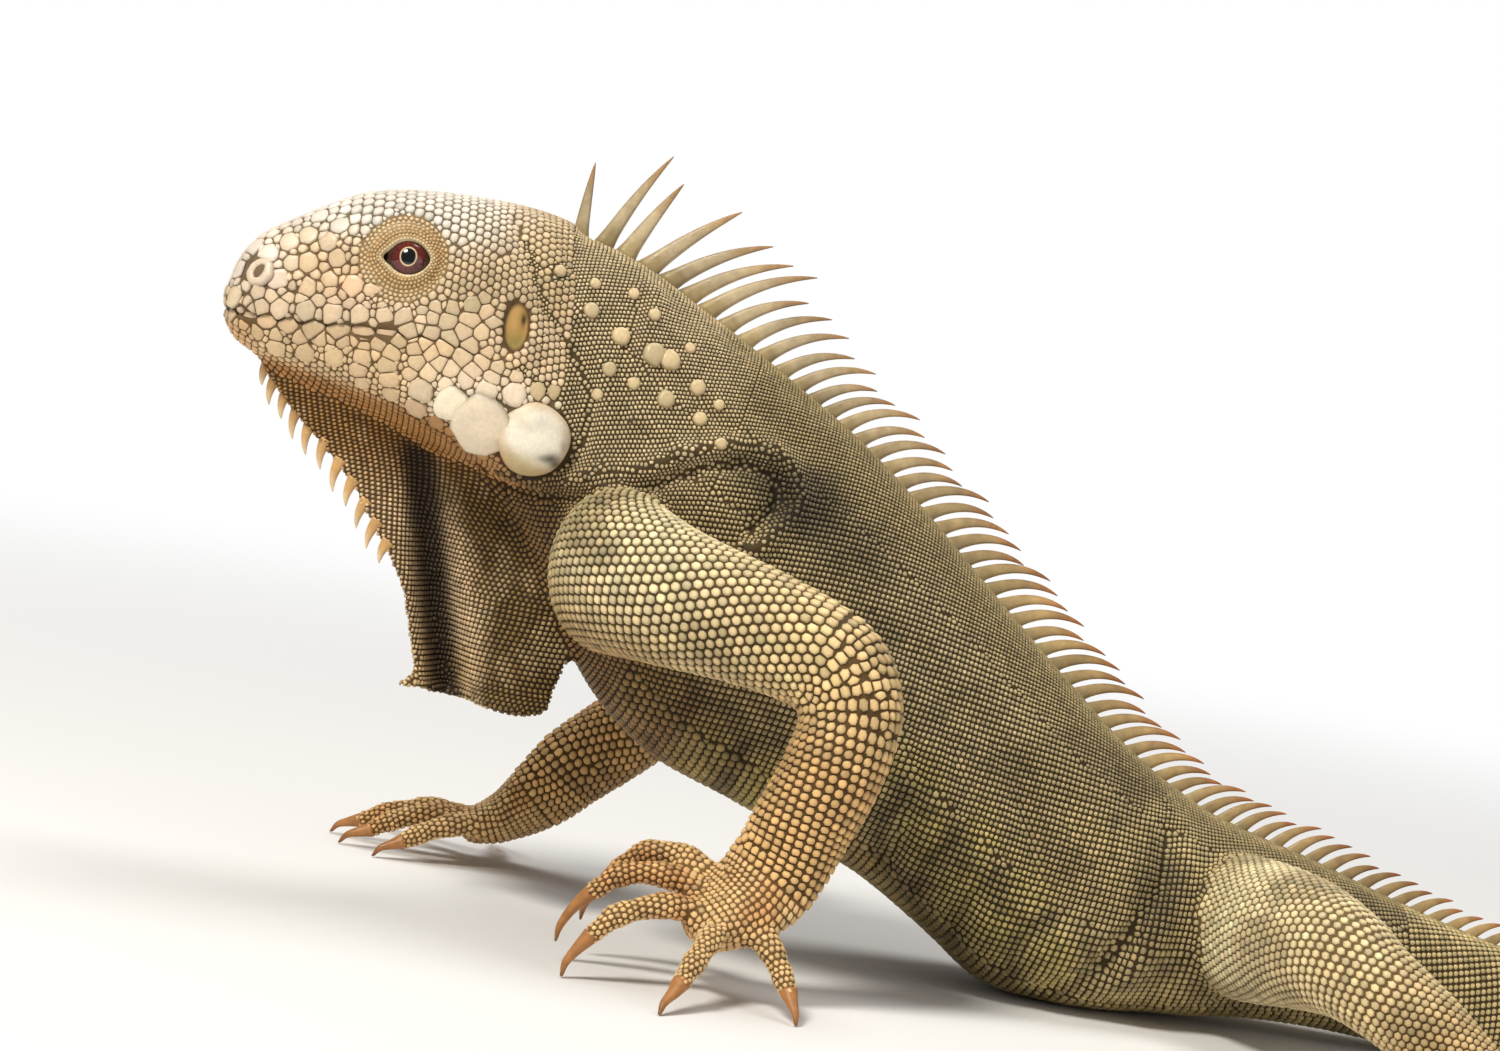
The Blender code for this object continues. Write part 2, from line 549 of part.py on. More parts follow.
def from_bmesh(name, bm, place=None):
    mesh = bpy.data.meshes.new(name)
    bm.to_mesh(mesh)
    bm.free()
    if place:
        points = place(np.array([v.co for v in mesh.vertices]) / MM) * MM
        mesh.vertices.foreach_set("co", points.astype(np.float32).ravel())
    return linked(name, mesh)


def block(name, low, high):
    bm = bmesh.new()
    middle = [(a + b) / 2 * MM for a, b in zip(low, high)]
    size = [(b - a) * MM for a, b in zip(low, high)]
    bmesh.ops.create_cube(bm, size=1.0, matrix=Matrix.Translation(middle) @ Matrix.Diagonal((*size, 1)))
    return from_bmesh(name, bm)


def prism(name, outline, y0, y1, place=None):
    """An outline in x and z, given thickness along y."""
    n = len(outline)
    verts = np.array([(x, y0, z) for x, z in outline] + [(x, y1, z) for x, z in outline], float)
    if place:
        verts = place(verts)
    faces = [tuple(range(n)), tuple(range(2 * n - 1, n - 1, -1))]
    faces += [(i, i + n, (i + 1) % n + n, (i + 1) % n) for i in range(n)]
    return mesh_object(name, (verts, faces))


def ball(name, centre, radii, around, levels, place=None):
    """A sphere or ellipsoid whose poles lie across the body."""
    bm = bmesh.new()
    turn = Matrix.Rotation(math.pi / 2, 4, "X")
    move = Matrix.Translation([c * MM for c in centre]) @ Matrix.Diagonal((*(r * MM for r in radii), 1)) @ turn
    bmesh.ops.create_uvsphere(bm, u_segments=around, v_segments=levels, radius=1.0, matrix=move)
    return from_bmesh(name, bm, place)


def copy(obj, name):
    return linked(name, obj.data.copy())


def swollen(name, data, by=GAP):
    verts, faces = data
    return mesh_object(name, (swell(np.asarray(verts, float), faces, by), faces))


# colours: name, base colour, roughness
SKINS = {
    "head_skin": ((0.70, 0.64, 0.46, 1), 0.55), "body_skin": ((0.33, 0.29, 0.13, 1), 0.6),
    "limb_skin": ((0.66, 0.52, 0.24, 1), 0.6), "throat_skin": ((0.55, 0.34, 0.14, 1), 0.6),
    "eye_glass": ((0.10, 0.03, 0.02, 1), 0.1), "ear_skin": ((0.45, 0.36, 0.17, 1), 0.5),
    "shield_plate": ((0.80, 0.76, 0.60, 1), 0.4),
}


def finish(obj, name, skin):
    """Makes a worked solid into a named piece of the animal."""
    tidy(obj)
    biggest(obj)
    outward(obj)
    obj.data.transform(Matrix.Translation((SHIFT[0] * MM, SHIFT[1] * MM, 0)))
    obj.name = name
    obj.data.name = name
    obj.hide_render = False
    obj.display_type = "TEXTURED"
    TOOLS.objects.unlink(obj)
    PARTS.objects.link(obj)
    colour, rough = SKINS[skin]
    mat = bpy.data.materials.new(name)
    mat.use_nodes = True
    shader = mat.node_tree.nodes["Principled BSDF"]
    shader.inputs["Base Color"].default_value = colour
    shader.inputs["Roughness"].default_value = rough
    obj.data.materials.clear()
    obj.data.materials.append(mat)
    for poly in obj.data.polygons:
        poly.material_index = 0
    obj.data.shade_smooth()
    obj.data.set_sharp_from_angle(angle=math.radians(35))
    return obj


FLOOR = block("under_floor", (-400, -700, -60), (900, 400, 0))
SPINES = crest_spines()

# stations where the body is parted, and the ring spacing of each length
BODY_PARTS = [
    ("neck", 0.0, 5.4, 0.6), ("trunk", 5.4, 13.4, 0.5), ("pelvis", 13.4, 17.4, 0.5),
    ("tail_base", 17.4, 21.6, 0.6), ("tail_middle", 21.6, 24.6, 0.34), ("tail_rear", 24.6, 27.2, 0.33),
    ("tail_tip", 27.2, LAST, 0.40),
]


def body_length(name, u0, u1, step, gap=GAP):
    """One length of the body with its spines joined on."""
    per = np.linalg.norm(body_point(u0 + 0.05, math.pi / 2) - body_point(u0, math.pi / 2)) / 0.05
    per1 = np.linalg.norm(body_point(u1, math.pi / 2) - body_point(u1 - 0.05, math.pi / 2)) / 0.05
    a = u0 + (gap * 0.75 / per if u0 > 0 else 0)
    b = u1 - (gap * 0.75 / per1 if u1 < LAST else 0)
    around = ROUND_BODY if u0 < 17 else 12 if u0 < 24 else 10
    return mesh_object(name, body_tube(a, b, step, around))


def parting(u):
    """The nearest station half way between two spines."""
    roots = [s[0] for s in SPINES]
    middles = [(a + b) / 2 for a, b in zip(roots, roots[1:])]
    near = min(middles, key=lambda m: abs(m - u))
    return near if abs(near - u) < 0.5 else u


body = {}
for name, u0, u1, step in BODY_PARTS:
    u0, u1 = (parting(u) if 0 < u < LAST else u for u in (u0, u1))
    obj = body_length(name, u0, u1, step)
    if name != "neck":
        combine(obj, [FLOOR], "DIFFERENCE")
    for u, root, along, up, height, width, lean in SPINES:
        if not u0 <= u < u1:
            continue
        if next((x[0] for x in SPINES if x[0] > u), LAST) >= u1:
            height *= LAST_SPINE
        spine = mesh_object("spine", blade(root, along, up, height, width, lean, rings=3 if 17 < u < 18 or u < 13 and height > 26 else 2 if height > 9 else 1))
        combine(obj, [spine], "UNION")
        bpy.data.objects.remove(spine)
    body[name] = obj

# the head, whole, then its sockets and its jaw
head = mesh_object("head", head_tube())
head_room = mesh_object("head_room", head_tube(GAP))
sockets, eyes, ears, shields = [], [], [], []
for side, sign in (("left", -1), ("right", 1)):
    centre = (EYE[0], sign * EYE[1], EYE[2])
    eyes.append((f"eye_{side}", ball("eye", centre, (EYE[3],) * 3, 12, 8, head_place)))
    sockets.append(ball("socket", centre, (EYE[3] + GAP,) * 3, 12, 8, head_place))
    ring = [(EAR[0] + EAR[2] * math.cos(t), EAR[1] + EAR[3] * math.sin(t)) for t in np.linspace(0, 2 * math.pi, 14, endpoint=False)]
    wide = [(EAR[0] + (EAR[2] + GAP) * math.cos(t), EAR[1] + (EAR[3] + GAP) * math.sin(t)) for t in np.linspace(0, 2 * math.pi, 14, endpoint=False)]
    plug = prism("ear", ring, sign * 21.0, sign * 40.0, head_place)
    inner = mesh_object("inner_head", head_tube(-0.9))
    combine(plug, [inner], "INTERSECT")
    ears.append((f"ear_{side}", plug))
    sockets.append(prism("ear_cut", wide, sign * (21.0 - GAP), sign * 40.0, head_place))
    plate = ball("shield", (SHIELD[0], sign * SHIELD[1], SHIELD[2]), SHIELD[3:], 12, 7, head_place)
    shields.append((f"shield_{side}", plate))
combine(head, sockets, "DIFFERENCE")
drop = 0.5 * GAP
low = [(x, z - drop) for x, z in MOUTH] + [(-50, 100), (-175, 100)]
high = [(x, z + drop) for x, z in MOUTH] + [(-50, 100), (-175, 100)]
jaw = copy(head, "jaw")
combine(jaw, [prism("jaw_cut", low, -60, 60, head_place)], "INTERSECT")
combine(head, [prism("head_cut", high, -60, 60, head_place)], "DIFFERENCE")
for _, plate in shields:
    combine(plate, [head_room], "DIFFERENCE")

# room for the neck, so that limbs and the dewlap stop short of it
neck_room = swollen("neck_room", body_tube(0.0, 5.4, 0.6))
trunk_room = swollen("trunk_room", body_tube(5.3, 13.5, 0.5))
pelvis_room = swollen("pelvis_room", body_tube(13.3, 17.4, 0.5))
combine(body["neck"], [head_room], "DIFFERENCE")
for _, plate in shields:
    combine(plate, [neck_room], "DIFFERENCE")

dewlap = mesh_object("dewlap", dewlap_tube())
for spike in throat_spikes():
    tool = mesh_object("spike", spike)
    combine(dewlap, [tool], "UNION")
    bpy.data.objects.remove(tool)
combine(dewlap, [head_room, neck_room], "DIFFERENCE")

limbs = []
for side, path, fingers, up in (("left", LEFT_ARM, LEFT_FINGERS, (-0.6, -0.3, 0.75)), ("right", RIGHT_ARM, RIGHT_FINGERS, (-0.3, 0.2, 0.9))):
    u, rings = limb_rings(path, 21, ROUND_LIMB, 2, up)
    upper = mesh_object("upper_arm", limb_part(u, rings, 0, ELBOW))
    combine(upper, [neck_room, trunk_room], "DIFFERENCE")
    fore_data = limb_part(u, rings, ELBOW, WRIST)
    fore = mesh_object("forearm", fore_data)
    hand = mesh_object("hand", limb_part(u, rings, WRIST, u[-1]))
    for rows in fingers:
        tool = mesh_object("digit", digit(rows))
        combine(hand, [tool], "UNION")
        bpy.data.objects.remove(tool)
    combine(hand, [swollen("fore_room", fore_data, ROOM)], "DIFFERENCE")
    limbs += [(f"upper_arm_{side}", upper), (f"forearm_{side}", fore), (f"hand_{side}", hand)]
for side, path, sole, toes in (("left", LEFT_LEG, LEFT_SOLE, LEFT_TOES),
                               ("right", mirrored(LEFT_LEG), mirrored(LEFT_SOLE), [mirrored(t) for t in LEFT_TOES])):
    u, rings = limb_rings(path, 17, ROUND_LIMB, 2)
    thigh = mesh_object("thigh", limb_part(u, rings, 0, KNEE))
    combine(thigh, [trunk_room, pelvis_room], "DIFFERENCE")
    shank_data = limb_part(u, rings, KNEE, u[-1])
    shank = mesh_object("shank", shank_data)
    foot = mesh_object("foot", limb_tube(sole, 6, ROUND_LIMB, (0.2, 0, 1)))
    for rows in toes:
        tool = mesh_object("digit", digit(rows))
        combine(foot, [tool], "UNION")
        bpy.data.objects.remove(tool)
    combine(foot, [swollen("shank_room", shank_data)], "DIFFERENCE")
    limbs += [(f"thigh_{side}", thigh), (f"shank_{side}", shank), (f"foot_{side}", foot)]

# the claws are trimmed to the level of the floor
for name, obj in limbs:
    if name.startswith(("hand", "foot")):
        combine(obj, [FLOOR], "DIFFERENCE")

finish(head, "head", "head_skin")
finish(jaw, "jaw", "head_skin")
for name, obj in eyes:
    finish(obj, name, "eye_glass")
for name, obj in ears:
    finish(obj, name, "ear_skin")
for name, obj in shields:
    finish(obj, name, "shield_plate")
finish(dewlap, "dewlap", "throat_skin")
for name, obj in body.items():
    finish(obj, name, "body_skin")
for name, obj in limbs:
    finish(obj, name, "limb_skin")
for tool in list(TOOLS.objects):
    bpy.data.objects.remove(tool)
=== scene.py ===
"""The looks of the green iguana: one skin with modelled scales, eyes, lids, plates, spines and claws.

Millimetres in the tables, metres in the scene. The tables and lofts repeat those of the solids.
"""
import math

import bmesh
import bpy
import numpy as np
from mathutils import Matrix, Vector
from mathutils.bvhtree import BVHTree
from mathutils.kdtree import KDTree


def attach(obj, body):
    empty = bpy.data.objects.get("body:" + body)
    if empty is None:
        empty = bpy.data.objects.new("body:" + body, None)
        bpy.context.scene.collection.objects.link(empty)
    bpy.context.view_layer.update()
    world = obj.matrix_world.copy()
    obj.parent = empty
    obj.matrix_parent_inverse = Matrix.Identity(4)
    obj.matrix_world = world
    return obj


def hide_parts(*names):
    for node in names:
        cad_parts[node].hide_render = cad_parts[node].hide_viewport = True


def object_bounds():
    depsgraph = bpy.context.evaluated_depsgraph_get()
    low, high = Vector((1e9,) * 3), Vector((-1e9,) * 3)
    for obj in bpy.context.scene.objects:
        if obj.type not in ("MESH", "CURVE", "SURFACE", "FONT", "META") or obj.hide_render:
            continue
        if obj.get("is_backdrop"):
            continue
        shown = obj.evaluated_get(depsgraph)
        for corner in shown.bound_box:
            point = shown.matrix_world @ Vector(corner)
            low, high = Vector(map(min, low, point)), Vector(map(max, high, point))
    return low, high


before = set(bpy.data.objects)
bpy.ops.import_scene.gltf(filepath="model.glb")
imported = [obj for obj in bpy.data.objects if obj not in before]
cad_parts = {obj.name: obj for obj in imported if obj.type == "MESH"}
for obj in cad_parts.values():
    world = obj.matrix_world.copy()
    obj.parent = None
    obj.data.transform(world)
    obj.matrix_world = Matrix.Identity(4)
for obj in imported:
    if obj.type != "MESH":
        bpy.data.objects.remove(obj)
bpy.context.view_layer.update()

MM = 0.001
GAP = 0.3                     # clearance between neighbouring pieces
ROOM = 0.25                   # clearance a limb keeps where a bend brings two lengths together
SHIFT = (-177.94, 115.58)       # from the modelling axes to the middle of the finished box
ROUND_BODY = 16
ROUND_HEAD = 18
ROUND_LIMB = 10
ROUND_DIGIT = 6


# ------------------------------------------------------------------ functions
def curve(keys, values, u):
    """Cubic Hermite curve through unevenly spaced keys."""
    k = np.asarray(keys, float)
    v = np.asarray(values, float)
    flat = v.ndim == 1
    if flat:
        v = v[:, None]
    u = np.asarray(u, float)
    d = np.diff(k)[:, None]
    s = np.diff(v, axis=0) / d
    m = np.empty_like(v)
    m[0], m[-1] = s[0], s[-1]
    m[1:-1] = (s[:-1] * d[1:] + s[1:] * d[:-1]) / (d[1:] + d[:-1])
    i = np.clip(np.searchsorted(k, u, side="right") - 1, 0, len(k) - 2)
    h = (k[i + 1] - k[i])[..., None]
    t = ((u - k[i]) / (k[i + 1] - k[i]))[..., None]
    out = ((2 * t**3 - 3 * t**2 + 1) * v[i] + (t**3 - 2 * t**2 + t) * h * m[i]
           + (-2 * t**3 + 3 * t**2) * v[i + 1] + (t**3 - t**2) * h * m[i + 1])
    return out[..., 0] if flat else out


def unit(v):
    return v / np.linalg.norm(v, axis=-1, keepdims=True)


# ------------------------------------------------------------------ body and tail
# back x, back z, belly x, belly z, half width, egg
TRUNK_ROWS = [
    (-95, 201.0, -104, 143, 23.0, -0.10),
    (-82, 204.5, -92, 134, 24.0, -0.05),
    (-68, 205.3, -80, 121, 25.5, 0.0),
    (-50, 199.8, -69, 104.5, 27.5, 0.05),
    (-33, 191.2, -58, 87, 31.0, 0.08),
    (-15, 181.7, -44, 69, 34.5, 0.10),
    (3, 171.3, -24, 54, 36.5, 0.12),
    (24, 158.5, 1, 45.0, 38.0, 0.14),
    (45, 142.5, 24, 36.5, 39.5, 0.16),
    (64, 126.5, 45, 28.0, 40.5, 0.18),
    (83, 110.5, 65, 16.0, 41.5, 0.20),
    (102, 95.0, 86, 2.5, 42.0, 0.20),
    (118, 82.5, 106, -1.0, 41.5, 0.20),
    (134, 72.0, 127, -1.1, 38.5, 0.17),
    (150, 64.5, 148, 0.8, 34.0, 0.13),
    (167, 59.5, 168, 3.0, 30.0, 0.08),
    (185, 55.0, 188, 3.6, 26.5, 0.04),
    (205, 49.0, 210, 2.5, 22.5, 0.0),
    (228, 42.5, 233, 0.5, 19.0, 0.0),
    (252, 37.0, 255, -0.6, 16.8, 0.0),
]
# distance along the tail, height, half width
TAIL_ROWS = [
    (285, 32.0, 14.6), (330, 27.5, 12.4), (390, 23.2, 10.2), (460, 19.0, 8.3),
    (540, 15.2, 6.6), (630, 11.8, 5.1), (730, 8.8, 3.9), (840, 6.4, 2.9),
    (950, 4.6, 2.1), (1040, 3.2, 1.5), (1085, 2.4, 1.1),
]
ROWS = np.array([tuple(map(float, r)) for r in TRUNK_ROWS]
                + [(x, h - 0.5, x, -0.5, w, 0.0) for x, h, w in TAIL_ROWS])
LAST = len(ROWS) - 1.0
FULLNESS = 0.92               # below 1 the flanks are fuller than an ellipse

BEND_START = 300.0
BEND_LENGTH = 785.0
# distance past the start of the bend, heading of the tail in degrees
HEADING = [(0, 0.0), (60, -6.0), (200, -50.0), (400, -112.0), (600, -158.0), (785, -190.0)]
_S = np.linspace(0, BEND_LENGTH, 1571)
_H = np.radians(curve([h[0] for h in HEADING], [h[1] for h in HEADING], _S))
_STEP = _S[1] - _S[0]
_X = BEND_START + np.concatenate([[0], np.cumsum(np.cos(_H[:-1]) * _STEP)])
_Y = np.concatenate([[0], np.cumsum(np.sin(_H[:-1]) * _STEP)])


def bend(p):
    """Lays the straight tail along its curve on the floor."""
    p = np.asarray(p, float)
    s = np.clip(p[..., 0] - BEND_START, 0, BEND_LENGTH)
    h = np.interp(s, _S, _H)
    past = p[..., 0] > BEND_START
    out = p.copy()
    out[..., 0] = np.where(past, np.interp(s, _S, _X) - np.sin(h) * p[..., 1], p[..., 0])
    out[..., 1] = np.where(past, np.interp(s, _S, _Y) + np.cos(h) * p[..., 1], p[..., 1])
    return out


def body_point(u, phi):
    """phi is 0 on the back, pi on the belly, and positive on the right side."""
    xd, zd, xv, zv, w, k = np.moveaxis(curve(np.arange(len(ROWS)), ROWS, u), -1, 0)
    c, s = np.cos(phi), np.sin(phi)
    y = w * np.sign(s) * np.abs(s) ** FULLNESS * (1 - k * c)
    return bend(np.stack([(xd + xv) / 2 + (xd - xv) / 2 * c, y, (zd + zv) / 2 + (zd - zv) / 2 * c], -1))


def tube(grid):
    """Closed mesh through rings of points, with a fan over each end."""
    n, m = grid.shape[:2]
    faces = [(i * m + j, i * m + (j + 1) % m, (i + 1) * m + (j + 1) % m, (i + 1) * m + j)
             for i in range(n - 1) for j in range(m)]
    verts = np.vstack([grid.reshape(-1, 3), grid[0].mean(0), grid[-1].mean(0)])
    faces += [(n * m, (j + 1) % m, j) for j in range(m)]
    faces += [(n * m + 1, (n - 1) * m + j, (n - 1) * m + (j + 1) % m) for j in range(m)]
    return verts, faces


def body_tube(u0, u1, step, m=ROUND_BODY):
    count = max(2, int(round((u1 - u0) / step)) + 1)
    u = np.linspace(u0, u1, count)
    phi = np.linspace(0, 2 * math.pi, m, endpoint=False)
    return tube(body_point(u[:, None], phi[None, :]))


# ------------------------------------------------------------------ head
# x, top, bottom, level of greatest width, half width, power above, power below
HEAD_ROWS = np.array([
    (-164.0, 182.5, 171.0, 177.0, 4.0, 2.0, 2.0),
    (-162.0, 189.0, 167.5, 177.5, 9.0, 2.1, 2.1),
    (-157.0, 196.5, 163.5, 178.5, 12.8, 2.2, 2.2),
    (-149.0, 202.3, 160.0, 178.5, 15.2, 2.2, 2.3),
    (-138.0, 208.5, 156.5, 177.5, 18.2, 2.2, 2.4),
    (-126.0, 214.0, 152.0, 176.5, 21.6, 2.4, 2.4),
    (-112.0, 216.5, 147.0, 174.0, 24.6, 2.6, 2.5),
    (-98.0, 217.0, 141.5, 170.0, 27.0, 2.6, 2.6),
    (-84.0, 216.5, 137.0, 164.0, 29.0, 2.4, 2.6),
    (-71.0, 214.8, 135.0, 161.0, 28.5, 2.2, 2.4),
    (-62.0, 212.3, 136.5, 162.5, 26.0, 2.1, 2.2),
])
HEAD_TILT = math.radians(3.0)
EYE = (-111.0, 15.8, 194.6, 8.0)                 # x, y, z, radius in the head's own axes
EAR = (-77.8, 179.8, 3.6, 7.2)                   # x, z, half length, half height
SHIELD = (-69.0, 27.2, 147.6, 10.6, 4.6, 10.8)   # x, y, z, three radii
MOUTH = [(-175, 174.9), (-150, 173.2), (-120, 173.6), (-98, 173.4), (-84, 169.0), (-50, 167.0)]


def head_place(p):
    p = np.asarray(p, float)
    c, s = math.cos(HEAD_TILT), math.sin(HEAD_TILT)
    return np.stack([p[..., 0] * c - p[..., 2] * s, p[..., 1], p[..., 2] * c + p[..., 0] * s], -1)


def head_tube(grow=0.0, m=ROUND_HEAD):
    _, zt, zb, zc, w, pt, pb = (a[:, None] for a in HEAD_ROWS.T)
    x = HEAD_ROWS[:, :1]
    phi = np.linspace(0, 2 * math.pi, m, endpoint=False)[None, ::-1]
    c, s = np.cos(phi), np.sin(phi)
    p = np.where(c >= 0, pt, pb)
    ca, sa = np.abs(c) ** (2 / p), np.abs(s) ** (2 / p)
    z = np.where(c >= 0, zc + (zt - zc) * ca, zc - (zc - zb) * ca)
    y = np.sign(s) * w * sa
    verts, faces = tube(np.stack([x + 0 * y, y, z], -1))
    return head_place(swell(verts, faces, grow)), faces


def swell(verts, faces, by):
    """Moves every point outward along its normal."""
    if by == 0:
        return verts
    normal = np.zeros_like(verts)
    for f in faces:
        a, b, c = verts[f[0]], verts[f[1]], verts[f[-1]]
        n = np.cross(b - a, c - a)
        for i in f:
            normal[i] += n
    centre = verts.mean(0)
    sign = 1.0 if sum(np.dot(normal[i], verts[i] - centre) for i in range(len(verts))) > 0 else -1.0
    return verts + sign * by * normal / np.maximum(np.linalg.norm(normal, axis=1), 1e-9)[:, None]


# ------------------------------------------------------------------ limbs
# x, y, z, radius across, radius through; one row per station from the root outward
LEFT_ARM = [(-40, -14, 110, 20, 25), (-46, -35, 110, 20, 25), (-31, -55, 107, 18, 21),
            (-3, -68, 102.5, 15.5, 17.5), (17, -75, 96, 14.5, 16), (24, -79, 84, 14, 15),
            (21, -81, 66, 14.5, 15), (15, -82, 50, 14.5, 13.5), (11, -82.5, 39, 14.5, 11.5),
            (5, -84, 29, 16, 9.5), (-2, -85.5, 22.5, 17, 8.5), (-7, -86.5, 19, 15, 7)]
RIGHT_ARM = [(-39, 15, 108.6, 20.5, 24), (-46, 35, 106.5, 19, 22.5), (-36, 54, 100, 17, 20),
             (-18, 70, 92, 15.5, 17), (-5, 79, 82, 14.5, 15.5), (-9, 84, 67, 14, 15),
             (-25, 86, 50, 14, 14), (-40, 86, 36, 14, 12), (-47, 86, 27.5, 14.5, 10.5),
             (-55, 86, 19.5, 16, 9), (-62, 86, 14.5, 16.5, 8), (-68, 86, 11.8, 15, 6.5)]
LEFT_LEG = [(156, -12, 33, 19, 22), (163, -34, 35, 19, 22), (171, -58, 37, 18, 20), (179, -78, 36, 15, 17),
            (188, -90, 31, 13, 14), (200, -97, 24, 12.5, 12.5), (212, -102, 16.5, 10.5, 10.5), (219, -105, 12, 9, 9)]
LEFT_SOLE = [(224, -103, 11.0, 8, 7.5), (220, -111, 10, 10.5, 7.5), (215, -120, 7.8, 12.5, 6.8), (209, -129, 7.0, 13, 6)]
ELBOW, WRIST = 4.6, 8.1      # stations where the arm is parted
KNEE = 3.6
RIGHT_LEG_FORWARD = 6.0      # the right leg stands this much further forward

# x, y, z, radius; the last three rows are the claw
LEFT_FINGERS = [
    [(-3, -76, 28, 4.8), (-14, -69, 34, 4.4), (-25, -64.5, 33.5, 4.1), (-33, -62, 27, 3.5), (-37.5, -61, 21, 1.9), (-40.5, -60.5, 15, 1.3), (-41, -60, 10.5, 0.5)],
    [(-6, -81, 25, 4.8), (-19, -79, 29.5, 4.4), (-32, -77, 28, 4.1), (-40, -76, 21.5, 3.5), (-44.5, -75, 16, 1.9), (-47.5, -74.5, 10, 1.3), (-48, -74, 5.5, 0.5)],
    [(-6, -87, 21.5, 4.8), (-20, -91, 23, 4.3), (-33, -95, 19, 4.0), (-40, -97.5, 12.5, 3.4), (-43.5, -98.5, 8, 1.9), (-46, -99.5, 4, 1.3), (-46.6, -100, 0.05, 0.5)],
    [(-2, -92, 20, 4.8), (-7, -104, 18, 4.2), (-12, -116, 12.5, 3.8), (-15.5, -123, 7.5, 3.3), (-17.5, -127.5, 5.2, 1.9), (-20, -132, 2.9, 1.2), (-21, -134.5, 0.05, 0.5)],
    [(5, -93, 20, 4.8), (10, -101, 17, 4.2), (14, -107.5, 11, 3.8), (16, -111, 7.4, 3.2), (17, -114, 5.2, 1.8), (18, -117, 3.0, 1.2), (18.5, -119, 0.05, 0.5)],
]
RIGHT_FINGERS = [
    [(-65, 76, 13, 4.8), (-77, 70, 12.5, 4.3), (-87, 66, 8.5, 3.9), (-92, 64, 5.6, 3.3), (-95, 63, 4.4, 1.9), (-98.5, 62, 2.8, 1.2), (-100.5, 61.5, 0.05, 0.5)],
    [(-67, 82, 12.5, 4.8), (-82, 80, 14, 4.3), (-95, 79, 10, 3.9), (-102, 78.5, 5.8, 3.3), (-106, 78, 4.4, 1.9), (-109.5, 78, 2.8, 1.2), (-111.5, 78, 0.05, 0.5)],
    [(-67, 88, 12.5, 4.8), (-83, 91, 14, 4.3), (-97, 94, 10, 3.9), (-105, 96, 5.8, 3.3), (-109, 97, 4.4, 1.9), (-112.5, 98, 2.8, 1.2), (-114.5, 98.5, 0.05, 0.5)],
    [(-64, 94, 12, 4.8), (-75, 104, 11.5, 4.2), (-85, 114, 8, 3.8), (-90, 119, 5.2, 3.3), (-93, 122, 4.2, 1.9), (-95.5, 125, 2.7, 1.2), (-97, 127, 0.05, 0.5)],
    [(-57, 97, 12, 4.8), (-57, 108, 9, 4.2), (-58, 116, 6.2, 3.8), (-58.5, 120, 4.6, 3.2), (-59, 123, 4.0, 1.8), (-59.5, 126.5, 2.6, 1.2), (-60, 128.5, 0.05, 0.5)],
]
LEFT_TOES = [
    [(211, -122, 7, 4.4), (201, -124, 8.5, 3.9), (192, -125, 5.8, 3.5), (188, -125.5, 4.6, 3.1), (185, -126, 4.0, 1.8), (181, -126.5, 2.6, 1.2), (179, -127, 0.05, 0.5)],
    [(208, -126, 7, 4.4), (196, -131, 9, 3.9), (184, -136, 6.2, 3.5), (179, -138, 4.6, 3.1), (176, -139, 4.0, 1.8), (172, -141, 2.6, 1.2), (170, -142, 0.05, 0.5)],
    [(207, -129, 7, 4.4), (196, -139, 9.5, 3.9), (184, -149, 6.6, 3.5), (178, -154, 4.6, 3.1), (175.5, -156, 4.0, 1.8), (172, -159, 2.6, 1.2), (170.5, -160.5, 0.05, 0.5)],
    [(208, -132, 7, 4.4), (201, -146, 9.5, 3.9), (192, -162, 7, 3.5), (188, -170, 4.6, 3.1), (186.5, -173, 4.0, 1.8), (184.5, -177, 2.6, 1.2), (183.5, -179, 0.05, 0.5)],
    [(216, -122, 7.5, 4.4), (220, -134, 8, 3.9), (222, -146, 5.8, 3.5), (222.5, -152, 4.6, 3.1), (222.5, -155, 4.0, 1.8), (222.5, -159, 2.6, 1.2), (222.5, -161, 0.05, 0.5)],
]


def mirrored(rows):
    return [(r[0] - RIGHT_LEG_FORWARD, -r[1], *r[2:]) for r in rows]


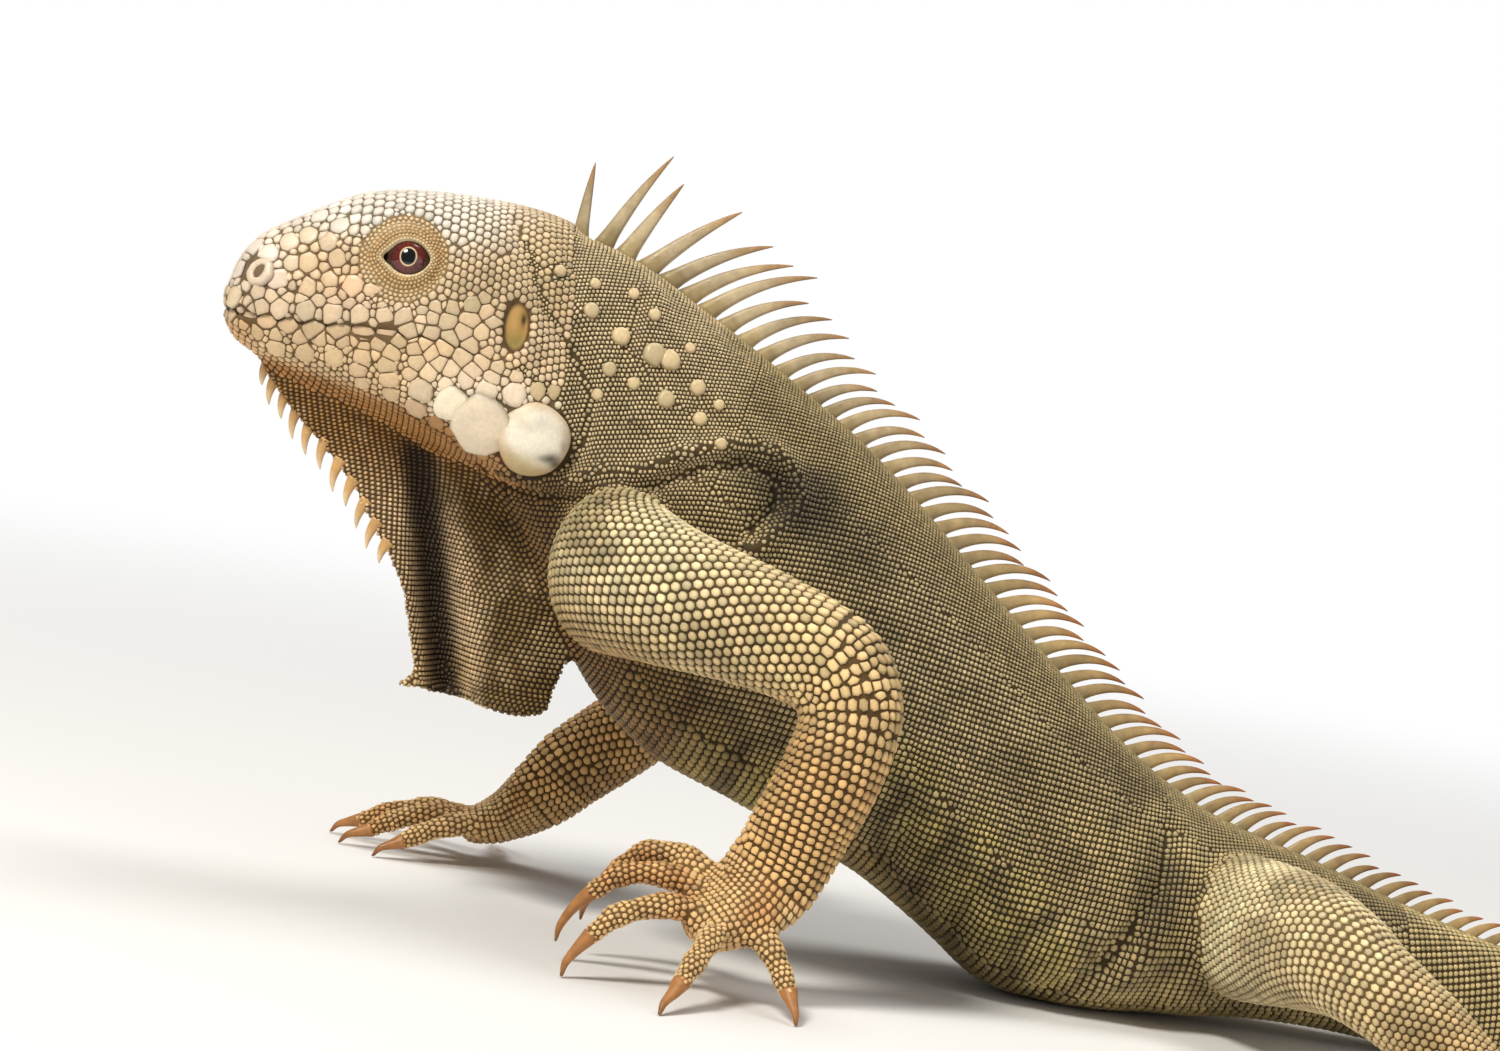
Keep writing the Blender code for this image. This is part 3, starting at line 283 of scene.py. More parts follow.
def limb_rings(path, steps, m, caps=2, end_up=None, twist_from=0.45):
    """Rings along a path, with the section's thin side turned to face end_up at the far end."""
    path = np.asarray(path, float)
    last = len(path) - 1
    u = np.linspace(0, last, steps)
    q = curve(np.arange(last + 1), path, u)
    c, a, b = q[:, :3], q[:, 3], q[:, 4]
    t = unit(np.gradient(c, axis=0))
    side = np.empty_like(t)
    first = np.cross(t[0], (0, 0, 1)) if abs(t[0][2]) < 0.9 else np.cross(t[0], (1, 0, 0))
    side[0] = unit(first)
    for i in range(1, steps):
        side[i] = unit(side[i - 1] - t[i] * (side[i - 1] @ t[i]))
    turn = 0.0
    if end_up is not None:
        want = np.asarray(end_up, float)
        want = unit(want - t[-1] * (want @ t[-1]))
        have = np.cross(side[-1], t[-1])
        turn = math.atan2(np.dot(np.cross(have, want), t[-1]), have @ want)
    for i in range(steps):
        k = np.clip((i / (steps - 1) - twist_from) / (1 - twist_from), 0, 1) * 1.25
        ang = turn * min(1.0, k)
        side[i] = side[i] * math.cos(ang) + np.cross(t[i], side[i]) * math.sin(ang)
    rows = [(u[i], c[i], t[i], side[i], a[i], b[i]) for i in range(steps)]
    for e in range(1, caps + 1):
        k = math.pi / 2 * e / (caps + 0.4)
        r = min(a[-1], b[-1]) * math.sin(k)
        rows.append((last + e, c[-1] + t[-1] * r, t[-1], side[-1], a[-1] * math.cos(k), b[-1] * math.cos(k)))
    phi = np.linspace(0, 2 * math.pi, m, endpoint=False)
    rings = [c_ + np.outer(np.cos(phi), np.cross(s_, t_)) * b_ + np.outer(np.sin(phi), s_) * a_
             for _, c_, t_, s_, a_, b_ in rows]
    return np.array([r[0] for r in rows]), np.array(rings)


def limb_part(u, rings, u0, u1, gap=GAP):
    """The stretch of a limb between two stations, flat at a parting."""
    def ring_at(x):
        i = int(np.clip(np.searchsorted(u, x) - 1, 0, len(u) - 2))
        f = (x - u[i]) / (u[i + 1] - u[i])
        return rings[i] * (1 - f) + rings[i + 1] * f
    def shifted(ring, inward):
        d = unit(inward - ring.mean(0))
        n = unit(np.cross(ring[len(ring) // 3] - ring[0], ring[2 * len(ring) // 3] - ring[0]))
        n = n if n @ d > 0 else -n
        return ring + n * gap / 2
    keep = [i for i in range(len(u)) if u0 + 0.12 < u[i] < u1 - 0.12]
    grid = [rings[i] for i in keep]
    if u0 > 0:
        grid.insert(0, shifted(ring_at(u0), grid[0].mean(0)))
    else:
        grid.insert(0, rings[0])
    if u1 < u[-1]:
        grid.append(shifted(ring_at(u1), grid[-1].mean(0)))
    else:
        grid.append(rings[-1])
    return tube(np.array(grid))


def limb_tube(path, steps, m, end_up):
    _, rings = limb_rings(path, steps, m, 2, end_up, 0.0)
    return tube(rings)


def digit(rows):
    rows = [(x, y, z, r, 0.92 * r) for x, y, z, r in rows]
    _, rings = limb_rings(rows, 6, ROUND_DIGIT, caps=0)
    return tube(rings)


# ------------------------------------------------------------------ dewlap
# level, front edge x, rear edge x, half thickness
DEWLAP_ROWS = np.array([
    (59.5, -77, -64, 1.3), (62.0, -98, -58.5, 1.5), (68.0, -99.5, -56.5, 1.6), (76.0, -102, -55, 1.6),
    (91.0, -107, -56, 1.7), (106.0, -117, -60, 1.9), (121.0, -129, -66, 2.6), (129.0, -137, -70, 3.8),
    (136.0, -145, -76, 5.6), (144.0, -153.5, -84, 8.0), (151.0, -160, -90, 9.5),
])
FOLD_DEPTH = 21.0


def dewlap_fold(x, z):
    """How far the loose skin hangs to one side of the middle plane."""
    k = np.clip((146 - z) / 52, 0, 1) ** 1.2
    centre = -87.5 - (z - 62) * 0.29
    return k * (-7 + FOLD_DEPTH * np.exp(-((x - centre) / 8.0) ** 2) - 4 * np.exp(-((x + 66) / 12.0) ** 2))


def dewlap_tube(rows=8, cols=9):
    z = np.linspace(DEWLAP_ROWS[0, 0], DEWLAP_ROWS[-1, 0], rows)
    a = np.linspace(0, 1, cols)
    grid = []
    for zi, (_, xf, xr, t) in zip(z, curve(DEWLAP_ROWS[:, 0], DEWLAP_ROWS, z)):
        x = xf + (xr - xf) * a
        y = dewlap_fold(x, zi)
        th = t * np.minimum(1, 0.35 + np.minimum(3 * a, 6 * (1 - a)))
        th = np.maximum(th, 2.2 * np.minimum(1, 0.55 + 5 * np.minimum(a, 1 - a)))
        th = th * np.minimum(np.sqrt(1 + np.gradient(y, x) ** 2), 2.4) ** 0.9
        level = np.full(cols, zi)
        grid.append(np.vstack([np.stack([x, y - th, level], -1), np.stack([x, y + th, level], -1)[::-1]]))
    return tube(np.array(grid))


# ------------------------------------------------------------------ crest and throat spikes
CREST_FROM = 1.75             # station of the first spine
# distance from the first spine, height, width at the root
CREST_SIZE = [(0, 23, 5.0), (7, 34, 5.5), (15, 32, 6.2), (23, 31, 6.4), (31, 34, 6.0), (39, 36.5, 5.8), (47, 34, 5.8),
              (56, 28.5, 5.4), (65, 26, 5.2), (76, 24.5, 5.0), (90, 22, 4.8), (160, 22, 4.8), (220, 19.5, 4.6),
              (270, 16, 4.4), (320, 12.5, 4.4), (380, 9.2, 4.4), (450, 6.6, 4.2), (600, 4.2, 4.0), (740, 2.4, 3.4)]
# distance, spacing
CREST_STEP = [(0, 7.4), (60, 7.4), (85, 6.2), (240, 6.0), (330, 6.2), (420, 7.4), (740, 9.0)]
CREST_END = 720.0
# distance, degrees above the back's own line at the root and at the tip
CREST_LEAN = [(0, 92, 88), (8, 80, 66), (16, 84, 76), (24, 66, 48), (32, 70, 38), (48, 72, 34), (70, 74, 26), (100, 76, 14),
              (250, 72, 12), (400, 60, 18), (740, 50, 20)]
LAST_SPINE = 0.78             # the last spine of a length is kept short of the next length's first
SINK = 2.2                    # depth of the root in the flesh


def crest_spines():
    """(station, root, along, up, height, width, lean) of each spine."""
    u = np.linspace(CREST_FROM, LAST - 0.02, 4000)
    p = body_point(u, np.zeros_like(u))
    s = np.concatenate([[0], np.cumsum(np.linalg.norm(np.diff(p, axis=0), axis=1))])
    size = np.array(CREST_SIZE, float)
    steps = np.array(CREST_STEP, float)
    lean = np.array(CREST_LEAN, float)
    found, at, n = [], 0.0, 0
    while at < CREST_END:
        i = int(np.searchsorted(s, at))
        along = unit(p[min(i + 12, len(p) - 1)] - p[max(i - 12, 0)])
        across = unit(np.cross(along, (0, 0, 1)))
        up = np.cross(across, along)
        vary = 1 + 0.09 * math.sin(n * 2.4) + 0.05 * math.sin(n * 5.1)
        height = float(np.interp(at, size[:, 0], size[:, 1])) * vary
        width = float(np.interp(at, size[:, 0], size[:, 2]))
        angles = (float(np.interp(at, lean[:, 0], lean[:, 1])), float(np.interp(at, lean[:, 0], lean[:, 2])))
        found.append((float(u[i]), p[i], along, up, height, width, angles))
        at += float(np.interp(at, steps[:, 0], steps[:, 1]))
        n += 1
    return found


def blade(root, along, up, height, width, lean, rings=4, thin=0.24):
    """A curved, flattened, pointed spine whose cross-section is a diamond."""
    across = np.cross(along, up)
    n = 24
    t = np.linspace(0, 1, n)
    ang = np.radians(lean[0] + (lean[1] - lean[0]) * t ** 1.15)
    step = (height + SINK) / (n - 1)
    path = root - up * SINK + np.concatenate([[np.zeros(3)], np.cumsum(
        (np.outer(np.cos(ang[:-1]), along) + np.outer(np.sin(ang[:-1]), up)) * step, axis=0)])
    verts, faces = [], []
    for i in range(rings):
        k = i / rings
        j = int(round(k * (n - 1)))
        forward = np.cos(ang[j]) * along + np.sin(ang[j]) * up
        edge = unit(np.cross(across, forward))
        half = width / 2 * (1 - k) ** 0.75
        verts += [path[j] - edge * half, path[j] + across * max(half * thin * 2, 0.3),
                  path[j] + edge * half, path[j] - across * max(half * thin * 2, 0.3)]
    verts.append(path[-1])
    for i in range(rings - 1):
        faces += [(4 * i + j, 4 * i + (j + 1) % 4, 4 * i + 4 + (j + 1) % 4, 4 * i + 4 + j) for j in range(4)]
    faces += [(4 * rings - 4 + j, 4 * rings - 4 + (j + 1) % 4, 4 * rings) for j in range(4)]
    faces.append((3, 2, 1, 0))
    return np.array(verts), faces


# levels of the spikes on the throat's front edge, and their lengths
THROAT_SPIKES = [(150.5, 5.5), (147.0, 7.5), (143.0, 7.0), (139.0, 8.5), (135.0, 8.5), (130.5, 7.5),
                 (125.5, 8.5), (120.5, 7.0), (115.0, 7.5), (109.5, 7.5), (104.0, 5.5)]


def throat_spikes():
    blades = []
    for n, (z, length) in enumerate(THROAT_SPIKES):
        row = curve(DEWLAP_ROWS[:, 0], DEWLAP_ROWS, z)
        low = curve(DEWLAP_ROWS[:, 0], DEWLAP_ROWS, z - 2)
        x = row[1] + 0.6
        along = unit(np.array([low[1] - row[1], 0, -2.0]))
        up = np.array([along[2], 0, -along[0]])
        root = np.array([x, float(dewlap_fold(x, z)), z])
        blades.append(blade(root, along, up, length, 3.6, lean=(70.0, 25.0), rings=2, thin=0.22))
    return blades



# ------------------------------------------------------------------ helpers
VOXEL = 2.05                  # grid of the skin
COAT = 0.55                   # how far the skin lies inside the solids
PATCH = 0.0014                # half the size of a scale's patch on its map


def tone(r, g, b):
    """A display colour, 0 to 255, as linear light."""
    c = np.array([r, g, b], float) / 255
    return np.where(c <= 0.04045, c / 12.92, ((c + 0.055) / 1.055) ** 2.4)


def smoothstep(a, b, x):
    t = np.clip((x - a) / (b - a), 0, 1)
    return t * t * (3 - 2 * t)


def mixed(base, target, k):
    return base * (1 - k[:, None]) + np.asarray(target) * k[:, None]


WAVES = np.random.default_rng(7)
WAVE_DIR = WAVES.normal(size=(3, 14, 3))
WAVE_PHASE = WAVES.uniform(0, 6.28, (3, 14))


def ripple(p, size, kind=0):
    """Smooth noise of about the given wavelength, from -1 to 1."""
    k = WAVE_DIR[kind] * (2.2 / size)
    return np.clip(np.sin(p @ k.T + WAVE_PHASE[kind]).sum(1) / 4.2, -1, 1)


def place(v):
    return (np.asarray(v, float) + (SHIFT[0], SHIFT[1], 0)) * MM


def head_local(p):
    """From the modelling axes to the head's own."""
    c, s = math.cos(HEAD_TILT), math.sin(HEAD_TILT)
    return np.stack([p[..., 0] * c + p[..., 2] * s, p[..., 1], p[..., 2] * c - p[..., 0] * s], -1)


def build(name, verts, groups, colour=None, uv=None, mat=None):
    """A mesh object from arrays; groups hold faces of one size each."""
    me = bpy.data.meshes.new(name)
    groups = [np.asarray(g, np.int32) for g in groups if len(g)]
    loops = np.concatenate([g.ravel() for g in groups])
    sizes = np.concatenate([np.full(len(g), g.shape[1], np.int32) for g in groups])
    me.vertices.add(len(verts))
    me.vertices.foreach_set("co", place(verts).astype(np.float32).ravel())
    me.loops.add(len(loops))
    me.loops.foreach_set("vertex_index", loops)
    me.polygons.add(len(sizes))
    me.polygons.foreach_set("loop_start", np.concatenate([[0], np.cumsum(sizes)[:-1]]).astype(np.int32))
    me.update(calc_edges=True)
    me.shade_smooth()
    if colour is not None:
        rgba = np.ones((len(verts), 4), np.float32)
        rgba[:, :3] = colour
        me.color_attributes.new("tint", "FLOAT_COLOR", "POINT").data.foreach_set("color", rgba.ravel())
    if uv is not None:
        me.uv_layers.new(name="OFBake").data.foreach_set("uv", uv[loops].astype(np.float32).ravel())
    obj = bpy.data.objects.new(name, me)
    bpy.context.scene.collection.objects.link(obj)
    if mat is not None:
        me.materials.append(mat)
    return obj


def split_faces(faces):
    """Lists of faces by their number of corners."""
    by = {}
    for f in faces:
        by.setdefault(len(f), []).append(f)
    return [np.array(v) for v in by.values()]


class Pile:
    """Joins many small meshes into one."""

    def __init__(self):
        self.verts, self.faces, self.colours, self.count = [], [], [], 0

    def add(self, verts, faces, colour):
        verts = np.asarray(verts, float)
        self.verts.append(verts)
        self.faces += [tuple(i + self.count for i in f) for f in faces]
        self.colours.append(np.broadcast_to(np.asarray(colour, float), verts.shape))
        self.count += len(verts)

    def object(self, name, mat):
        return build(name, np.vstack(self.verts), split_faces(self.faces), np.vstack(self.colours), mat=mat)


# ------------------------------------------------------------------ materials
def material(name, rough=(0.35, 0.6), grain=900.0, bump=0.25, spec=0.45, shade=(0.82, 1.12), coat=0.0, sheen=0.0):
    """Takes its colour from the piece's own tint, varied by noise, with matching roughness and bump."""
    mat = bpy.data.materials.new(name)
    mat.use_nodes = True
    nodes, links = mat.node_tree.nodes, mat.node_tree.links
    shader = nodes["Principled BSDF"]
    shader.inputs["Specular IOR Level"].default_value = spec
    shader.inputs["Coat Weight"].default_value = coat
    shader.inputs["Coat Roughness"].default_value = 0.15
    shader.inputs["Sheen Weight"].default_value = sheen
    tint = nodes.new("ShaderNodeAttribute")
    tint.attribute_name = "tint"
    where = nodes.new("ShaderNodeTexCoord")
    noise = nodes.new("ShaderNodeTexNoise")
    noise.inputs["Scale"].default_value = grain
    noise.inputs["Detail"].default_value = 4.0
    links.new(where.outputs["Object"], noise.inputs["Vector"])
    wide = nodes.new("ShaderNodeTexNoise")
    wide.inputs["Scale"].default_value = grain / 9
    wide.inputs["Detail"].default_value = 3.0
    links.new(where.outputs["Object"], wide.inputs["Vector"])
    both = nodes.new("ShaderNodeMath")
    both.operation = "ADD"
    links.new(noise.outputs["Fac"], both.inputs[0])
    links.new(wide.outputs["Fac"], both.inputs[1])
    band = nodes.new("ShaderNodeMapRange")
    band.inputs["From Min"].default_value = 0.6
    band.inputs["From Max"].default_value = 1.4
    band.inputs["To Min"].default_value = shade[0]
    band.inputs["To Max"].default_value = shade[1]
    links.new(both.outputs[0], band.inputs["Value"])
    scale = nodes.new("ShaderNodeVectorMath")
    scale.operation = "SCALE"
    links.new(tint.outputs["Color"], scale.inputs[0])
    links.new(band.outputs[0], scale.inputs["Scale"])
    links.new(scale.outputs[0], shader.inputs["Base Color"])
    dull = nodes.new("ShaderNodeMapRange")
    dull.inputs["From Min"].default_value = 0.3
    dull.inputs["From Max"].default_value = 0.7
    dull.inputs["To Min"].default_value = rough[0]
    dull.inputs["To Max"].default_value = rough[1]
    links.new(noise.outputs["Fac"], dull.inputs["Value"])
    links.new(dull.outputs[0], shader.inputs["Roughness"])
    if bump:
        relief = nodes.new("ShaderNodeBump")
        relief.inputs["Strength"].default_value = bump
        relief.inputs["Distance"].default_value = 0.0002
        links.new(noise.outputs["Fac"], relief.inputs["Height"])
        links.new(relief.outputs[0], shader.inputs["Normal"])
    return mat


SKIN_MAT = material("skin", rough=(0.6, 0.85), grain=1500, bump=0.4, spec=0.25)
SCALE_MAT = material("scale", rough=(0.36, 0.58), grain=1300, bump=0.22, spec=0.42, shade=(0.80, 1.14))
PLATE_MAT = material("plate", rough=(0.30, 0.5), grain=900, bump=0.25, spec=0.45, shade=(0.84, 1.1))
HORN_MAT = material("horn", rough=(0.32, 0.55), grain=500, bump=0.35, spec=0.45, shade=(0.75, 1.15))
EYE_MAT = material("eye_glass", rough=(0.04, 0.08), grain=700, bump=0.0, spec=0.5, shade=(0.7, 1.3), coat=0.4)
LID_MAT = material("lid", rough=(0.4, 0.6), grain=1800, bump=0.5, spec=0.4)


# ------------------------------------------------------------------ lofts at full detail
def head_rings(x, m):
    rows = curve(HEAD_ROWS[:, 0], HEAD_ROWS, x)
    _, zt, zb, zc, w, pt, pb = (a[:, None] for a in rows.T)
    phi = np.linspace(0, 2 * math.pi, m, endpoint=False)[None, ::-1]
    c, s = np.cos(phi), np.sin(phi)
    p = np.where(c >= 0, pt, pb)
    ca, sa = np.abs(c) ** (2 / p), np.abs(s) ** (2 / p)
    z = np.where(c >= 0, zc + (zt - zc) * ca, zc - (zc - zb) * ca)
    return np.stack([x[:, None] + 0 * z, np.sign(s) * w * sa, z], -1)


def fine_head(m=96, count=90):
    x = np.linspace(-164, -62, count)
    rings = head_rings(x, m)
    nose = rings[0].mean(0)
    cap = [nose + (rings[0] - nose) * k - np.array([d, 0, 0]) for k, d in ((0.55, 0.9), (0.85, 0.5))]
    return head_place(np.concatenate([np.array(cap), rings]))


def fine_dewlap(rows=90, cols=70):
    """Rings round the fold of loose skin, level by level."""
    z = np.linspace(DEWLAP_ROWS[0, 0], DEWLAP_ROWS[-1, 0], rows)
    a = np.linspace(0, 1, cols)
    grid = []
    for zi, (_, xf, xr, t) in zip(z, curve(DEWLAP_ROWS[:, 0], DEWLAP_ROWS, z)):
        x = xf + (xr - xf) * a
        y = dewlap_fold(x, zi)
        th = t * np.minimum(1, 0.35 + np.minimum(3 * a, 6 * (1 - a)))
        th = np.maximum(th, 2.2 * np.minimum(1, 0.55 + 5 * np.minimum(a, 1 - a)))
        th = th * np.minimum(np.sqrt(1 + np.gradient(y, x) ** 2), 2.4) ** 0.9
        level = np.full(cols, zi)
        grid.append(np.vstack([np.stack([x, y - th, level], -1), np.stack([x, y + th, level], -1)[::-1]]))
    return np.array(grid)


ARMS = [("left", LEFT_ARM, LEFT_FINGERS, (-0.6, -0.3, 0.75)), ("right", RIGHT_ARM, RIGHT_FINGERS, (-0.3, 0.2, 0.9))]
LEGS = [("left", LEFT_LEG, LEFT_SOLE, LEFT_TOES),
        ("right", mirrored(LEFT_LEG), mirrored(LEFT_SOLE), [mirrored(t) for t in LEFT_TOES])]


def fine_digit(rows, steps=26, m=28):
    """The flesh of a digit, with a swelling at each joint and a round end under the claw."""
    rows = [(x, y, z, r, 0.92 * r) for x, y, z, r in rows[:4]]
    u, rings = limb_rings(rows, steps, m, caps=4)
    centre = rings.mean(1, keepdims=True)
    knob = 1 + 0.09 * np.cos(2 * math.pi * np.clip(u, 0, 3) * 0.95) * (u < 3.1)
    return centre + (rings - centre) * knob[:, None, None]


RINGS = {}
_u = np.linspace(0, LAST, 620)
_phi = np.linspace(0, 2 * math.pi, 144, endpoint=False)
BODY_U = _u
RINGS["body"] = body_point(_u[:, None], _phi[None, :])
# the skin's grid can't hold the last of the tail, so that part is kept a little stouter
_mid = RINGS["body"].mean(1, keepdims=True)
_thick = np.linalg.norm(RINGS["body"] - _mid, axis=2).mean(1)
RINGS["body"] = _mid + (RINGS["body"] - _mid) * np.maximum(1, 2.35 / np.maximum(_thick, 0.3))[:, None, None]
RINGS["head"] = fine_head()
RINGS["dewlap"] = fine_dewlap()
LIMB_U = {}
for _side, _path, _fingers, _up in ARMS:
    LIMB_U["arm_" + _side], RINGS["arm_" + _side] = limb_rings(_path, 90, 60, 4, _up)
    for _i, _rows in enumerate(_fingers):
        RINGS[f"finger_{_side}_{_i}"] = fine_digit(_rows)
for _side, _path, _sole, _toes in LEGS:
    LIMB_U["leg_" + _side], RINGS["leg_" + _side] = limb_rings(_path, 80, 56, 4)
    RINGS["sole_" + _side] = limb_rings(_sole, 30, 40, 4, (0.2, 0, 1), 0.0)[1]
    for _i, _rows in enumerate(_toes):
        RINGS[f"toe_{_side}_{_i}"] = fine_digit(_rows)


# ------------------------------------------------------------------ relief of the skin
# lines in x and z seen from the side: points, depth of the crease, its width, height of the fold beside it
CREASES = [
    ([(-90, 127), (-72, 127), (-55, 130), (-41, 136), (-27, 144), (-14, 148), (-4, 145), (-1, 139), (-9, 128)], 2.6, 2.3, 2.4),
    ([(-92, 208), (-86, 197), (-80, 184), (-70, 173), (-62, 160), (-62, 146), (-68, 134)], 1.6, 2.6, 1.2),
    ([(-52, 190), (-54, 172), (-52, 158), (-55, 146)], 0.9, 2.2, 0.8),
    ([(-46, 152), (-33, 143), (-20, 137), (-10, 133)], 0.9, 1.8, 0.7),
    ([(-36, 168), (-22, 158), (-10, 153)], 0.6, 1.8, 0.5),
    ([(36, 89), (45, 78), (51, 62), (50, 44), (46, 30)], 1.6, 3.2, 1.0),
    ([(62, 74), (76, 48), (74, 24)], 1.1, 3.2, 0.8),
    ([(40, 104), (68, 82), (100, 60), (121, 40)], 0.7, 3.4, 0.5),
    ([(84, 62), (95, 40), (93, 16)], 0.9, 3.0, 0.6),
    ([(132, 58), (132, 45), (126, 34), (119, 18)], 2.0, 3.2, 1.0),
    ([(124, 27), (111, 11), (95, 0)], 1.2, 3.0, 0.6),
]


def to_line(p, line):
    """Distance of each point to a line of points, in the plane, and which side of it."""
    best = np.full(len(p), 1e9)
    side = np.zeros(len(p))
    for a, b in zip(line[:-1], line[1:]):
        a, b = np.array(a, float), np.array(b, float)
        d = b - a
        t = np.clip(((p - a) @ d) / (d @ d), 0, 1)
        off = p - (a + t[:, None] * d)
        dist = np.hypot(off[:, 0], off[:, 1])
        better = dist < best
        best = np.where(better, dist, best)
        side = np.where(better, np.sign(d[0] * off[:, 1] - d[1] * off[:, 0]), side)
    return best, side


EYE_AXIS = unit(np.array([-0.09, -0.96, 0.26]))


def eye_frame(sign):
    """Centre, axis, forward and up of one eye, in the head's own axes; sign is -1 on the left."""
    centre = np.array([EYE[0], sign * EYE[1], EYE[2]])
    axis = EYE_AXIS * (1, -sign, 1)
    forward = unit(np.array([-1.0, 0, 0]) - axis * (np.array([-1.0, 0, 0]) @ axis))
    return centre, axis, forward, np.cross(forward, axis) * -sign * -1


def eye_polar(q, sign):
    """Distance from the eye's axis and angle round it, forward 0 and up a quarter turn."""
    centre, axis, forward, up = eye_frame(sign)
    up = up if up[2] > 0 else -up
    d = q - centre
    return np.hypot(d @ forward, d @ up), np.arctan2(d @ up, d @ forward), d @ axis


def relief(p, normal):
    """How far each point of the skin moves along its normal."""
    move = np.full(len(p), -COAT)
    side = smoothstep(0.25, 0.6, np.abs(normal[:, 1])) * (np.abs(p[:, 1]) > 8)
    trunk = (p[:, 0] > -100) & (p[:, 0] < 150) & (np.abs(p[:, 1]) < 47)
    q = head_local(p)
    in_head = q[:, 0] < -72
    for line, depth, width, ridge in CREASES:
        d, which = to_line(p[:, [0, 2]], line)
        crease = -depth * np.exp(-(d / width) ** 2) + ridge * np.exp(-((d * which - 2.4 * width) / (1.5 * width)) ** 2)
        ends = 1.0
        move += crease * side * trunk * ends
    # loose skin of the neck and belly, in shallow folds
    neck = smoothstep(-80, -60, p[:, 0]) * (1 - smoothstep(-10, 12, p[:, 0])) * trunk
    move += 0.55 * ripple(p * (1, 1, 0.55), 9.0, 1) * neck * side
    low = smoothstep(20, 60, p[:, 0]) * (1 - smoothstep(60, 85, p[:, 2])) * trunk * (1 - smoothstep(135, 160, p[:, 0]))
    move += 0.6 * ripple(p * (1, 1, 0.6), 15.0, 2) * low
    # eyes
    for sign in (-1, 1):
        d, angle, level = eye_polar(q, sign)
        near = in_head & (q[:, 1] * sign > 8)
        move += near * -(5.0 * np.exp(-(d / 8.6) ** 4) + 1.0 * np.exp(-(d / 13.5) ** 4))
        brow = np.exp(-((d - 15.0) / 3.0) ** 2) * smoothstep(0.35, 1.0, np.sin(angle))
        move += near * 0.9 * brow
        # ear
        e = np.hypot((q[:, 0] - EAR[0]) / (EAR[2] + 0.4), (q[:, 2] - EAR[1]) / (EAR[3] + 0.4))
        on = (q[:, 1] * sign > 12) & (q[:, 0] > -95) & (q[:, 0] < -60)
        move += on * (-1.7 * np.exp(-e ** 6) + 0.6 * np.exp(-((e - 1.5) / 0.3) ** 2))
        # muscle of the jaw, a swelling at the temple over it, and a hollow in front of the eye
        move += on * 0
        jowl = np.exp(-((q[:, 0] + 88) / 15) ** 2 - ((q[:, 2] - 158) / 12) ** 2)
        move += (q[:, 1] * sign > 10) * 1.3 * jowl * (q[:, 0] < -66)
        temple = np.exp(-((q[:, 0] + 88) / 11) ** 2 - ((q[:, 2] - 196) / 9) ** 2)
        move += (q[:, 1] * sign > 8) * 0.9 * temple
        hollow = np.exp(-((q[:, 0] + 136) / 12) ** 2 - ((q[:, 2] - 191) / 4) ** 2)
        move -= (q[:, 1] * sign > 6) * 1.1 * hollow
        # the line of the mouth
        line = np.interp(q[:, 0], [m[0] for m in MOUTH], [m[1] for m in MOUTH])
        slit = np.exp(-((q[:, 2] - line) / 0.75) ** 2) * (1 - smoothstep(-92, -80, q[:, 0])) * (q[:, 0] > -166)
        move += (q[:, 1] * sign > 0) * -1.3 * slit * (q[:, 2] > 160)
        lip = np.exp(-((q[:, 2] - line - 2.8) / 1.6) ** 2) + 0.8 * np.exp(-((q[:, 2] - line + 2.6) / 1.6) ** 2)
        move += (q[:, 1] * sign > 2) * 0.45 * lip * (1 - smoothstep(-104, -92, q[:, 0])) * (q[:, 0] < -60)
    return move


def voxel_skin():
    verts, faces, n = [], [], 0
    for grid in RINGS.values():
        v, f = tube(grid)
        verts.append(v)
        faces += [tuple(i + n for i in t) for t in f]
        n += len(v)
    raw = build("raw_skin", np.vstack(verts), split_faces(faces))
    mod = raw.modifiers.new("join", "REMESH")
    mod.mode = "VOXEL"
    mod.voxel_size = VOXEL * MM
    bpy.context.view_layer.update()
    joined = bpy.data.meshes.new_from_object(raw.evaluated_get(bpy.context.evaluated_depsgraph_get()))
    bpy.data.objects.remove(raw)
    bm = bmesh.new()
    bm.from_mesh(joined)
    # only the one closed body stays: no crumbs at thin ends
    left, parts = set(bm.verts), []
    while left:
        stack = [left.pop()]
        part = list(stack)
        while stack:
            v = stack.pop()
            for e in v.link_edges:
                o = e.other_vert(v)
                if o in left:
                    left.remove(o)
                    stack.append(o)
                    part.append(o)
        parts.append(part)
    parts.sort(key=len)
    for part in parts[:-1]:
        bmesh.ops.delete(bm, geom=part, context="VERTS")
    # the head is cut finer
    shift = np.array([SHIFT[0], SHIFT[1], 0])
    co = np.array([v.co[:] for v in bm.verts]) / MM - shift
    q = head_local(co)
    fine = (q[:, 0] < -64) & (q[:, 2] > 134) & (co[:, 0] < -60)
    bm.verts.ensure_lookup_table()
    edges = [e for e in bm.edges if fine[e.verts[0].index] and fine[e.verts[1].index]]
    bmesh.ops.subdivide_edges(bm, edges=edges, cuts=1, use_grid_fill=True)
    bm.to_mesh(joined)
    bm.free()
    return joined


def arrays_of(me):
    v = np.empty(len(me.vertices) * 3, np.float32)
    me.vertices.foreach_get("co", v)
    v = v.reshape(-1, 3).astype(float) / MM - np.array([SHIFT[0], SHIFT[1], 0])
    e = np.empty(len(me.edges) * 2, np.int32)
    me.edges.foreach_get("vertices", e)
    return v, e.reshape(-1, 2)


